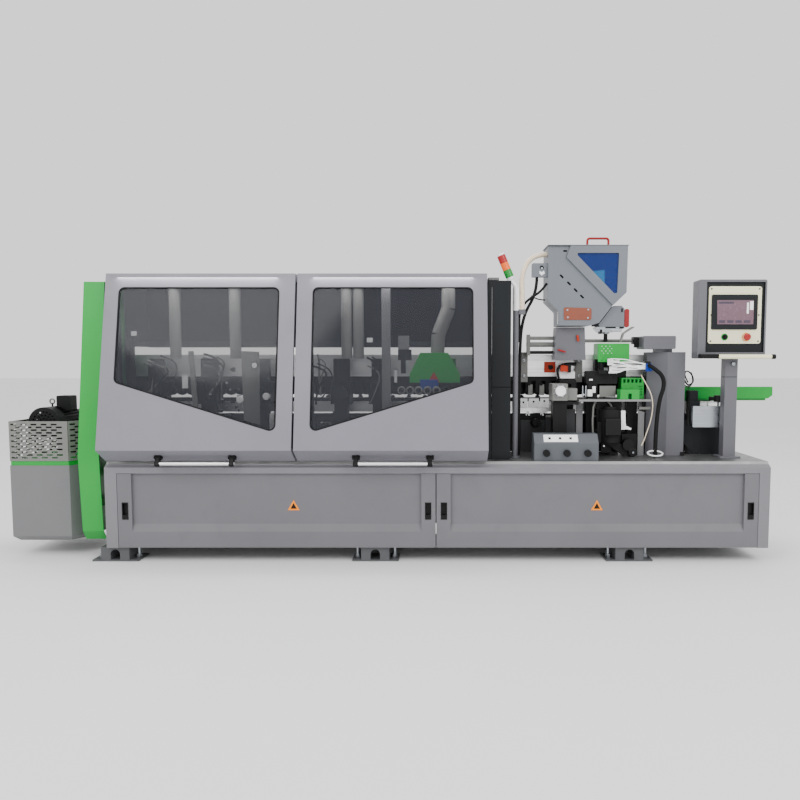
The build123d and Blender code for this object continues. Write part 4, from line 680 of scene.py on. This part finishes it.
CAP_PROFILE = ((0.0, 1.0), (0.70, 1.0), (0.92, 0.90), (1.0, 0.74))


def discs(name, look, radius, height, places, body="root"):
    """One piece made of round caps that stand out towards the operator."""
    bm = bmesh.new()
    profile = [(share * height, reach * radius) for share, reach in CAP_PROFILE]
    for place in places:
        add_turned(bm, place, (0, -1, 0), profile, sides=24)
    return piece_from(name, bm, look, body)


def wire(name, route, radius, look, body="root"):
    """A short fixed pipe or wire run along smooth control points."""
    piece = nurbs_curve(name, route, radius)
    piece.data.materials.append(LOOKS[look])
    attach(piece, body)
    return piece


RING_SIDES = 40


def ring_around(name, look, middle, outer, inner):
    """Flat collar on the panel plate around a button."""
    x, z = middle
    front, back = -0.2690, -0.2662
    bm = bmesh.new()
    loops = []
    turns = [2 * math.pi * step / RING_SIDES for step in range(RING_SIDES)]
    section = ((inner, back), (inner, front), (outer - 0.001, front), (outer, front + 0.001), (outer, back))
    for radius, y in section:
        places = [(x + radius * math.cos(turn), y, z + radius * math.sin(turn)) for turn in turns]
        loops.append([bm.verts.new(place) for place in places])
    for first, second in zip(loops, loops[1:] + loops[:1]):
        for step in range(RING_SIDES):
            after = (step + 1) % RING_SIDES
            bm.faces.new((first[step], first[after], second[after], second[step]))
    bmesh.ops.recalc_face_normals(bm, faces=bm.faces)
    return piece_from(name, bm, look, "console")


def dial_fins(name, middle, reach, count):
    """Ribs of the glue tank's front plate around its dial."""
    bm = bmesh.new()
    for step in range(count):
        turn = 2 * math.pi * (step + 0.5) / count
        x, z = middle[0] + reach * math.cos(turn), middle[2] + reach * math.sin(turn)
        add_block(bm, (x - 0.005, middle[1] - 0.006, z - 0.003), (x + 0.005, middle[1], z + 0.003))
    return piece_from(name, bm, "steel", "root")


def cable_hoop(name):
    """White cable hoop that lies on the bed in front of the pillar."""
    middle, half_x, half_y = (1.475, -0.235, 0.584), 0.045, 0.030
    route = []
    for step in range(13):
        turn = 2 * math.pi * step / 12
        route.append((middle[0] + half_x * math.cos(turn), middle[1] + half_y * math.sin(turn),
                      middle[2] + 0.012 + 0.012 * math.sin(turn)))
    return wire(name, route, 0.0045, "white")


# ---- Doors: seals, screws and lock ----

DOOR_SLOPE = math.atan2(0.207, 0.980)
DOOR_LOW = Vector((0, -0.532, 0.648))
DOOR_UP = Vector((0, math.sin(DOOR_SLOPE), math.cos(DOOR_SLOPE)))
DOOR_OUT = Vector((0, -math.cos(DOOR_SLOPE), math.sin(DOOR_SLOPE)))
SEAM_X = -0.594
WINDOW_CORNERS = ((0.099, 1.545), (0.990, 1.545), (0.990, 1.022), (0.099, 0.751))
CORNER_R = 0.028
SEAL_PROFILE = ((-0.002, 0.0), (-0.002, 0.0022), (0.001, 0.0030), (0.0055, 0.0020), (0.0065, -0.0025),
                (0.0, -0.0035))


def on_door(x, z, out=0.0):
    """Point on the door front at a height, lifted outwards."""
    return Vector((x, 0, 0)) + DOOR_LOW + DOOR_UP * ((z - DOOR_LOW.z) / DOOR_UP.z) + DOOR_OUT * out


def rounded(corners, radius, steps=6):
    """Closed list of 3-D points with each corner turned into an arc."""
    points = []
    for index, corner in enumerate(corners):
        before = (corners[index - 1] - corner).normalized()
        after = (corners[(index + 1) % len(corners)] - corner).normalized()
        half = before.angle(after) / 2
        centre = corner + (before + after).normalized() * (radius / math.sin(half))
        start = corner + before * (radius / math.tan(half)) - centre
        end = corner + after * (radius / math.tan(half)) - centre
        for step in range(steps + 1):
            points.append(centre + start.lerp(end, step / steps).normalized() * radius)
    return points


def window_seal(side, body):
    """Rubber seal around a door window: a lipped profile swept along the rounded opening."""
    corners = [on_door(SEAM_X + side * x, z) for x, z in WINDOW_CORNERS]
    line = rounded(corners, CORNER_R)
    bm = bmesh.new()
    rings = []
    count = len(line)
    for index, point in enumerate(line):
        along = (line[(index + 1) % count] - line[index - 1]).normalized()
        inward = DOOR_OUT.cross(along) * side
        rings.append([bm.verts.new(point + inward * across + DOOR_OUT * up)
                      for across, up in SEAL_PROFILE])
    for index in range(count):
        first, second = rings[index], rings[(index + 1) % count]
        for corner in range(len(SEAL_PROFILE)):
            after = (corner + 1) % len(SEAL_PROFILE)
            bm.faces.new((first[corner], first[after], second[after], second[corner]))
    bmesh.ops.recalc_face_normals(bm, faces=bm.faces)
    side_name = "left" if side < 0 else "right"
    return piece_from(f"window_seal_{side_name}", bm, "rubber", body, smooth=True)


window_seal(-1, "door_left")
window_seal(1, "door_right")


# ---- Details of the work area, the hopper, the console and the hood ----

def glue_details():
    """Bracket screws, stickers, and the glue valve with its hose."""
    screws = [(0.732, 0.048, 1.14), (0.733, 0.048, 1.044), (1.075, 0.048, 1.14), (1.076, 0.048, 1.044)]
    discs("bracket_screws", "steel", 0.0085, 0.005, screws)
    discs("bracket_screw_sockets", "black", 0.004, 0.0056, screws)
    boxes("beam_stickers", "orange", [(0.861, 0.932, 0.0675, 0.0698, 1.064, 1.131)], "beam")
    plate("beam_sticker_marks", "black", [(0.886, 1.11), (0.913, 1.11), (0.92, 1.091), (0.901, 1.08),
          (0.888, 1.088)], 0.0669, 0.0675, "beam")
    wire("glue_arc", [(0.94, -0.02, 1.03), (0.925, -0.02, 1.081), (0.946, -0.02, 1.11), (1.0, -0.02, 1.123),
         (1.045, -0.02, 1.121)], 0.0075, "black")
    boxes("glue_valve_body", "soot", [
        (0.939, 1.039, -0.06, -0.008, 0.997, 1.022),
        (1.008, 1.041, -0.058, -0.01, 0.926, 1.004),
        (0.993, 1.011, -0.04, -0.014, 1.066, 1.11),
        (0.979, 1.041, -0.04, -0.014, 1.107, 1.117),
    ])
    boxes("glue_valve", "orange", [(0.948, 0.995, -0.034, -0.008, 1.071, 1.11)])
    boxes("valve_surround", "white", [(0.931, 1.04, -0.006, 0.004, 1.029, 1.071)])
    dial_fins("tank_fins", (0.916, -0.2268, 0.962), 0.036, 8)


def chain_details():
    """White guide blocks over the chain and the tabs that hang from the beam."""
    boxes("chain_guide_blocks", "white", [
        (0.714, 0.76, 0.064, 0.07, 0.845, 0.903),
        (0.767, 0.831, 0.064, 0.07, 0.845, 0.903),
        (0.839, 0.896, 0.064, 0.07, 0.845, 0.903),
        (0.933, 0.988, 0.064, 0.07, 0.845, 0.903),
    ])
    discs("guide_block_screws", "black", 0.006, 0.004, [(0.734, 0.064, 0.879), (0.798, 0.064, 0.883),
          (0.864, 0.064, 0.887), (0.945, 0.064, 0.874), (0.974, 0.064, 0.879)])
    plate("guide_hook_1", "white", [(0.748, 0.796), (0.754, 0.819), (0.763, 0.825), (0.776, 0.81),
          (0.775, 0.796), (0.764, 0.799), (0.76, 0.808), (0.754, 0.796)], 0.06, 0.064)
    plate("guide_hook_2", "white", [(0.838, 0.81), (0.846, 0.825), (0.855, 0.819), (0.863, 0.796),
          (0.852, 0.796), (0.848, 0.808), (0.842, 0.799)], 0.06, 0.064)
    boxes("hanger_tabs", "guard", [
        (0.762, 0.79, 0.06, 0.068, 0.924, 0.99),
        (0.833, 0.863, 0.06, 0.068, 0.924, 0.99),
        (0.897, 0.918, 0.06, 0.068, 0.924, 0.99),
    ], "beam")
    discs("hanger_bolts", "black", 0.009, 0.006, [(0.767, 0.06, 0.993), (0.844, 0.06, 0.993),
          (0.906, 0.06, 0.993)], "beam")


def lower_details():
    """Plates, rails, pipes and the swing arm under the guide table."""
    boxes("lower_plates", "cabinet", [
        (1.034, 1.074, -0.098, -0.09, 0.697, 0.888),
        (1.398, 1.436, -0.132, -0.124, 0.559, 0.833),
    ])
    boxes("lower_plates_dark", "panel_dark", [
        (0.715, 0.869, 0.052, 0.06, 0.567, 0.769),
        (0.972, 1.029, -0.098, -0.09, 0.697, 0.848),
        (0.869, 0.92, 0.03, 0.038, 0.684, 0.794),
        (1.139, 1.229, -0.06, -0.052, 0.801, 0.846),
    ])
    boxes("lower_rails", "guard", [
        (0.868, 0.917, 0.02, 0.028, 0.788, 0.802),
        (1.146, 1.221, -0.066, -0.06, 0.796, 0.807),
        (1.4, 1.467, -0.15, -0.12, 0.848, 0.864),
    ])
    discs("lower_motor", "black", 0.028, 0.05, [(0.805, 0.05, 0.754)])
    discs("lower_motor_hub", "soot", 0.014, 0.062, [(0.825, 0.05, 0.75)])
    wire("table_pipe_left", [(1.139, -0.15, 0.895), (1.126, -0.15, 0.869), (1.126, -0.15, 0.843),
         (1.122, -0.15, 0.773), (1.127, -0.15, 0.702)], 0.006, "guard")
    wire("table_pipe_right", [(1.212, -0.15, 0.895), (1.237, -0.15, 0.873), (1.24, -0.15, 0.825),
         (1.229, -0.15, 0.773)], 0.006, "guard")
    plate("white_bracket", "white", [(1.279, 0.845), (1.303, 0.845), (1.306, 0.777), (1.309, 0.756),
          (1.341, 0.741), (1.338, 0.731), (1.313, 0.736), (1.282, 0.732)], -0.206, -0.2)
    plate("swing_arm", "soot", [(1.136, 0.731), (1.162, 0.735), (1.259, 0.669), (1.383, 0.564),
          (1.394, 0.541), (1.349, 0.545), (1.243, 0.617), (1.154, 0.687)], -0.17, -0.15)
    discs("swing_wheel", "soot", 0.027, 0.022, [(1.357, -0.17, 0.595)])
    discs("swing_hub", "steel", 0.007, 0.026, [(1.357, -0.17, 0.595)])
    discs("swing_spots", "white", 0.0055, 0.004, [(1.2, -0.186, 0.724), (1.212, -0.186, 0.689),
          (1.185, -0.186, 0.634)])
    boxes("black_masses", "black", [
        (1.145, 1.204, -0.184, -0.15, 0.653, 0.776),
        (1.299, 1.389, -0.148, -0.13, 0.596, 0.702),
        (1.177, 1.24, -0.148, -0.13, 0.588, 0.649),
    ])


def table_details():
    """Feelers, labels and the clear cover on the guide table."""
    boxes("feeler_posts", "steel", [
        (1.064, 1.071, -0.12, -0.114, 0.922, 0.988),
        (1.083, 1.091, -0.116, -0.11, 0.922, 0.988),
        (1.007, 1.026, -0.14, -0.13, 0.875, 0.895),
    ])
    boxes("feeler_blocks", "white", [
        (1.099, 1.128, -0.11, -0.096, 0.924, 0.965),
        (1.054, 1.068, -0.14, -0.13, 0.886, 0.903),
        (1.131, 1.151, -0.092, -0.084, 0.945, 0.984),
    ])
    boxes("guillotine_label", "white", [(1.111, 1.132, -0.0912, -0.09, 1.019, 1.028)])
    boxes("clear_cover", "guard", [(1.176, 1.273, -0.084, -0.082, 0.92, 0.987)])


AIR_LINES, AIR_PITCH, AIR_TOP = 11, 0.00823, 1.1493


def air_lines():
    """Loose bundle of white air lines from the pressing unit to the blue fitting on the pillar."""
    for index in range(AIR_LINES):
        start_z = AIR_TOP - AIR_PITCH * index
        far_z = 1.117 + RNG.uniform(0.012, -0.024)
        start = (1.209 + RNG.uniform(0, 0.026), -0.150, start_z)
        mid_x = 1.275 + RNG.uniform(-0.013, 0.022)
        mid_z = start_z + RNG.uniform(0.0105, -0.0105)
        middle = (mid_x, -0.160 - RNG.uniform(0, 0.014), mid_z)
        far = (1.348 + RNG.uniform(-0.017, 0.017), -0.165, far_z + RNG.uniform(0.0225, -0.019))
        fitting = (1.428, -0.158, far_z - 0.007)
        wire(f"air_line_{index + 1}", [start, middle, far, fitting], 0.0032, "white")


def air_fittings():
    """Blocks and fittings of the air lines, and the earth cable beside them."""
    boxes("air_blocks", "white", [
        (1.208, 1.243, -0.148, -0.132, 1.111, 1.149),
        (1.219, 1.264, -0.15, -0.134, 1.063, 1.101),
        (1.254, 1.278, -0.148, -0.138, 1.13, 1.144),
    ])
    boxes("air_blocks_dark", "black", [
        (1.158, 1.209, -0.128, -0.11, 1.059, 1.082),
        (1.208, 1.235, -0.15, -0.134, 1.102, 1.108),
        (1.392, 1.455, -0.044, -0.02, 1.217, 1.252),
    ])
    boxes("blue_fittings", "blue_part", [
        (1.428, 1.461, -0.178, -0.15, 1.075, 1.12),
        (1.448, 1.474, -0.196, -0.18, 1.081, 1.106),
    ])
    wire("earth_cable", [(1.402, -0.165, 1.054), (1.437, -0.19, 0.984), (1.46, -0.196, 0.932),
         (1.469, -0.196, 0.863), (1.454, -0.2, 0.777), (1.43, -0.2, 0.707), (1.417, -0.2, 0.664),
         (1.402, -0.205, 0.638)], 0.003, "hose")
    cable_hoop("earth_cable_hoop")


def pillar_details():
    """Plugs, looped cables and the gusset of the infeed pillar."""
    discs("pillar_plugs", "black", 0.007, 0.004, [(1.494, -0.074, 1.152), (1.495, -0.074, 1.117)])
    wire("loop_cable_1", [(1.686, -0.06, 0.997), (1.715, -0.06, 0.97), (1.748, -0.06, 1.006),
         (1.738, -0.06, 1.059), (1.703, -0.06, 1.081), (1.691, -0.06, 1.05), (1.716, -0.06, 1.006)], 0.004,
         "rubber")
    wire("loop_cable_2", [(1.682, -0.07, 1.042), (1.703, -0.07, 0.988), (1.738, -0.07, 0.997),
         (1.747, -0.07, 1.031), (1.727, -0.07, 1.068)], 0.0045, "rubber")
    wire("drop_cable", [(1.716, -0.06, 0.997), (1.721, -0.064, 0.908), (1.711, -0.066, 0.837),
         (1.716, -0.066, 0.784), (1.698, -0.06, 0.729)], 0.0022, "rubber")
    plate("gusset", "night", [(1.685, 0.766), (1.709, 0.779), (1.747, 0.694), (1.769, 0.561), (1.693, 0.64)],
          -0.066, -0.06)
    boxes("foot_bolts", "black", [(1.656, 1.676, -0.14, -0.118, 0.56, 0.592)])


def hopper_details():
    """Copper plate, granulate bag, bracket and cables of the hopper, and small parts of the melter."""
    plate("copper_plate", "copper", [(0.952, 1.452), (1.102, 1.448), (1.11, 1.441), (1.11, 1.385),
          (1.104, 1.378), (0.952, 1.379), (0.947, 1.386), (0.946, 1.445)], -0.1335, -0.1303)
    discs("copper_rivets", "steel", 0.006, 0.004, [(0.967, -0.1335, 1.436), (1.09, -0.1335, 1.438),
          (0.97, -0.1335, 1.393), (1.088, -0.1335, 1.39)])
    # The bag's glow is painted light.
    plate("bag_in_hopper", "glowing_bag_look", [(1.096, 1.661), (1.183, 1.671), (1.186, 1.591), (1.17, 1.588)], -0.13,
          -0.1285)
    boxes("hopper_side_patch", "white", [(0.915, 0.936, -0.096, -0.09, 1.355, 1.428)])
    discs("bracket_hole", "black", 0.012, 0.002, [(0.816, -0.1105, 1.687)])
    discs("bracket_bolt", "steel", 0.007, 0.006, [(0.816, -0.1105, 1.682)])
    plate("bracket_patch", "white", [(0.803, 1.668), (0.816, 1.66), (0.829, 1.67), (0.834, 1.653),
          (0.816, 1.64), (0.803, 1.653)], -0.112, -0.1105)
    wire("hopper_cable", [(0.847, -0.1, 1.594), (0.816, -0.12, 1.549), (0.756, -0.15, 1.512),
         (0.703, -0.17, 1.468), (0.679, -0.18, 1.416), (0.677, -0.186, 1.331), (0.68, -0.19, 1.245)], 0.0075,
         "rubber")
    wire("hopper_stay", [(0.845, -0.06, 1.501), (0.812, -0.06, 1.502), (0.776, -0.06, 1.516),
         (0.763, -0.06, 1.528)], 0.004, "soot")
    plate("melter_flap", "guard", [(1.373, 1.34), (1.369, 1.333), (1.314, 1.298), (1.297, 1.249),
          (1.29, 1.251), (1.305, 1.301), (1.361, 1.34)], -0.108, -0.07)
    boxes("melter_slit", "black", [
        (1.292, 1.297, -0.101, -0.0998, 1.426, 1.449),
        (1.299, 1.305, -0.101, -0.0998, 1.426, 1.449),
    ])
    boxes("melter_clutter", "soot", [
        (1.129, 1.168, -0.096, -0.04, 1.343, 1.361),
        (1.17, 1.184, -0.096, -0.04, 1.298, 1.324),
        (1.203, 1.265, -0.094, -0.0922, 1.331, 1.34),
        (1.286, 1.313, -0.096, -0.06, 1.329, 1.343),
    ])
    boxes("melter_clutter_light", "steel", [
        (1.141, 1.166, -0.097, -0.06, 1.324, 1.334),
        (1.238, 1.3, -0.096, -0.07, 1.31, 1.324),
    ])


def console_details():
    """Lamp box on the hood, then the screen, the collars and the post of the console."""
    boxes("lamp_box", "cabinet", [(0.491, 0.554, -0.25, -0.16, 1.598, 1.614)])
    plate("screen_bezel_face", "display", [(1.8, 1.483), (2.009, 1.483), (2.014, 1.346), (1.804, 1.346)],
          -0.2722, -0.2714, "console")
    boxes("screen_buttons", "screen_tile", [
        (1.813, 1.849, -0.2729, -0.2722, 1.354, 1.369),
        (1.861, 1.897, -0.2729, -0.2722, 1.354, 1.369),
        (1.908, 1.944, -0.2729, -0.2722, 1.354, 1.369),
        (1.956, 1.992, -0.2729, -0.2722, 1.354, 1.369),
        (1.81, 1.895, -0.2729, -0.2722, 1.463, 1.475),
    ], "console")
    boxes("screen_glare", "white_glow", [
        (1.971, 1.982, -0.2729, -0.2722, 1.407, 1.469),
        (1.988, 2.008, -0.2729, -0.2722, 1.428, 1.477),
    ], "console")
    ring_around("stop_collar", "yellow", (1.974, 1.274), 0.024, 0.0205)
    ring_around("selector_collar", "green", (1.85, 1.274), 0.02, 0.0145)
    discs("post_lock", "steel", 0.011, 0.012, [(1.916, -0.233, 1.12)])
    boxes("post_seam", "night", [(1.855, 1.94, -0.2338, -0.233, 1.042, 1.045)])


def hood_details():
    """Post, side plates and unit parts behind the windows."""
    boxes("hood_post", "cabinet", [(-0.122, -0.072, -0.262, -0.232, 0.572, 1.6245)])
    boxes("inside_light_parts", "white", [
        (-1.288, -1.254, -0.23, -0.222, 0.977, 1.05),
        (-1.59, -1.559, -0.2, -0.19, 1.283, 1.309),
        (-0.207, -0.174, -0.262, -0.24, 1.243, 1.269),
        (-0.055, -0.037, -0.2, -0.19, 1.01, 1.082),
    ])
    plate("inside_strut", "guard", [(-1.237, 1.192), (-1.209, 1.194), (-1.191, 0.869), (-1.22, 0.869)],
          -0.262, -0.25)
    plate("side_plate_left", "guard", [(-0.933, 1.194), (-0.829, 1.189), (-0.831, 0.766), (-0.924, 0.792)],
          -0.262, -0.256)
    discs("side_plate_dial", "black", 0.022, 0.01, [(-0.855, -0.262, 1.111)])
    discs("side_plate_dial_face", "white", 0.017, 0.0115, [(-0.855, -0.262, 1.111)])
    discs("side_plate_knob", "white", 0.021, 0.02, [(-0.789, -0.262, 0.932), (-0.944, -0.255, 0.913)])
    boxes("inside_box_light", "cabinet", [(-0.029, 0.035, -0.23, -0.2, 1.202, 1.282)])
    boxes("inside_box_dark", "soot", [
        (-0.03, 0.048, -0.228, -0.2, 1.14, 1.202),
        (-0.014, 0.014, -0.226, -0.2, 1.063, 1.14),
    ])
    boxes("inside_blue", "blue_part", [(0.099, 0.204, -0.288, -0.282, 0.964, 1.03)])
    plate("funnel_triangle", "orange", [(0.178, 1.074), (0.214, 1.015), (0.145, 1.015)], -0.2825, -0.2802)
    rings = [(x, -0.288, 0.968) for x in (-0.007, 0.042, 0.091, 0.142, 0.194)]
    discs("buffing_rings", "guard", 0.024, 0.012, rings)
    discs("buffing_cores", "black", 0.016, 0.014, rings)


# Left end, right end and number of lines in each bundle, as they look at the depth BUNDLE_Y.
BUNDLES = ((-1.1705, -0.963, 9), (-1.508, -1.2745, 5), (-0.5225, -0.4055, 4), (-0.211, -0.1205, 3))
BUNDLE_Y = -0.24


def sighted(x, y, z):
    """A point at BUNDLE_Y moved to another depth along the operator's line of sight."""
    reach = (y - CAMERA_AT[1]) / (BUNDLE_Y - CAMERA_AT[1])
    return (CAMERA_AT[0] + (x - CAMERA_AT[0]) * reach, y, CAMERA_AT[2] + (z - CAMERA_AT[2]) * reach)


def inside_wires():
    """Bundles of wires and air lines that sag over the units behind the windows."""
    for bundle, (left, right, count) in enumerate(BUNDLES, 1):
        for index in range(count):
            near, middle, far = sorted(RNG.uniform(left, right) for _ in range(3))
            top = RNG.uniform(1.1795, 1.1015)
            mid_z = RNG.uniform(1.0755, 0.972)
            low = RNG.uniform(0.972, 0.8815)
            y = BUNDLE_Y - 0.010 + RNG.uniform(-0.008, 0.030)
            route = [sighted(near, y, top), sighted(far, y - 0.006, top - 0.026), sighted(middle, y, mid_z),
                     sighted(near + 0.013, y + 0.006, low)]
            look = "black" if index % 3 else "guard"
            wire(f"inside_wire_{bundle}_{index + 1}", route, 0.004 + 0.002 * (index % 2), look)


def clutter(name, look, count, y_span, x_span, z_span, wide, high):
    """One piece made of small scattered blocks; the spans give each block's left and top."""
    rows = []
    for _ in range(count):
        x, z = RNG.uniform(*x_span), RNG.uniform(*z_span)
        rows.append((x, x + RNG.uniform(*wide), *y_span, z - RNG.uniform(*high), z))
    boxes(name, look, rows)


def inside_clutter():
    """Fittings and clips scattered over the units behind the left window."""
    clutter("inside_clutter_dark", "soot", 26, (-0.246, -0.232), (-1.171, -0.9575), (1.102, 0.8165),
            (0.0065, 0.0285), (0.0065, 0.0285))
    clutter("inside_clutter_light", "steel", 14, (-0.252, -0.247), (-1.1635, -0.741), (1.076, 0.817),
            (0.005, 0.018), (0.004, 0.0115))


for add_details in (
    glue_details, chain_details, lower_details, table_details,
    air_lines, air_fittings, pillar_details, hopper_details,
    console_details, hood_details, inside_wires, inside_clutter,
):
    add_details()


SIGN_X = {"left": -0.613, "right": 1.101}
SIGN_BACK_Y, SIGN_FRONT_Y, SIGN_MARK_Y = -0.4122, -0.4135, -0.4140


def panel_sign(side):
    """Generic warning triangle on a service panel, with a plain dark triangle inside it."""
    x = SIGN_X[side]
    sign = [(x - 0.034, 0.295), (x + 0.034, 0.295), (x, 0.354)]
    plate(f"panel_sign_{side}", "yellow", sign, SIGN_FRONT_Y, SIGN_BACK_Y, f"panel_{side}")
    inner = [(x - 0.018, 0.304), (x + 0.018, 0.304), (x, 0.336)]
    plate(f"panel_sign_{side}_mark", "black", inner, SIGN_MARK_Y, SIGN_FRONT_Y, f"panel_{side}")


panel_sign("left")
panel_sign("right")


def knob_box_label():
    """White plate with three dark marks on the sloped lid of the knob box."""
    low, high, out = Vector((0, -0.3634, 0.6775)), Vector((0, -0.3304, 0.7150)), Vector((0, -0.7507, 0.6606))
    for name, look, spans, share, lift in (
        ("knob_box_label", "white", ((0.805, 1.000),), (0.0, 1.0), 0.0006),
        ("knob_box_marks", "soot", ((0.832, 0.846), (0.892, 0.906), (0.952, 0.966)), (0.35, 0.65), 0.0010),
    ):
        bm = bmesh.new()
        bottom, top = low.lerp(high, share[0]), low.lerp(high, share[1])
        for x0, x1 in spans:
            left, right = Vector((x0, 0, 0)), Vector((x1, 0, 0))
            add_prism(bm, [left + bottom, right + bottom, right + top, left + top], out * lift)
        piece_from(name, bm, look, "root")


knob_box_label()
# Dark sheets over the upper back of the hood's inside: painted shade in that corner.
boxes("hood_shade_sheets", "inside", [
    (-1.664, -1.660, -0.100, 0.236, 1.225, 1.620),
    (-1.660, 0.480, 0.234, 0.2395, 1.222, 1.262),
])


# ---- Stage and light ----

FLOOR_LOW, FLOOR_HIGH = (0.80, 0.80, 0.80, 1), (0.86, 0.86, 0.86, 1)
WORLD_STRENGTH = 1.3
SOFT_LIGHTS = (             # place, diameter, power, point aimed at
    ((-2.5, -4.5, 4.5), 3.5, 150, (-0.6, 0, 0.9)),
    ((3.2, -4.0, 3.8), 3.0, 110, (0.8, 0, 0.9)),
    ((0.0, 1.5, 4.8), 5.0, 110, (0, 0, 1.0)),
)
HOOD_LAMP_X, HOOD_LAMP_Y, HOOD_LAMP_Z = (-1.15, -0.05), -0.30, 1.59
HOOD_LAMP_SIZE, HOOD_LAMP_POWER, HOOD_LAMP_TILT = (0.9, 0.12), 7, -28


def add_light(name, shape, place, power, size, turn):
    """An area light."""
    data = bpy.data.lights.new(name, "AREA")
    data.shape = shape
    data.size, data.size_y = size
    data.energy = power
    light = bpy.data.objects.new(name, data)
    light.location = place
    light.rotation_euler = turn
    bpy.context.scene.collection.objects.link(light)


def add_stage():
    """Pale floor, soft world and large soft lights."""
    bpy.ops.mesh.primitive_plane_add(size=60, location=(0, 12, -0.001))
    floor = bpy.context.object
    floor.name = "floor"
    finish = Material("floor")
    smudge = finish.noise(0.7, 3.0)
    finish.link(finish.blend(smudge, FLOOR_LOW, FLOOR_HIGH), finish.shader, "Base Color")
    finish.shader.inputs["Roughness"].default_value = 0.9
    floor.data.materials.append(finish.material)
    world = bpy.data.worlds.new("studio")
    bpy.context.scene.world = world
    world.use_nodes = True
    background = world.node_tree.nodes["Background"]
    background.inputs["Color"].default_value = (1.0, 1.0, 1.0, 1)
    background.inputs["Strength"].default_value = WORLD_STRENGTH
    for place, size, power, aim in SOFT_LIGHTS:
        turn = (Vector(aim) - Vector(place)).to_track_quat("-Z", "Y").to_euler()
        add_light("soft", "DISK", place, power, (size, size), turn)
    for x in HOOD_LAMP_X:
        tilt = (math.radians(HOOD_LAMP_TILT), 0, 0)
        place = (x, HOOD_LAMP_Y, HOOD_LAMP_Z)
        add_light("hood_lamp", "RECTANGLE", place, HOOD_LAMP_POWER, HOOD_LAMP_SIZE, tilt)


add_stage()
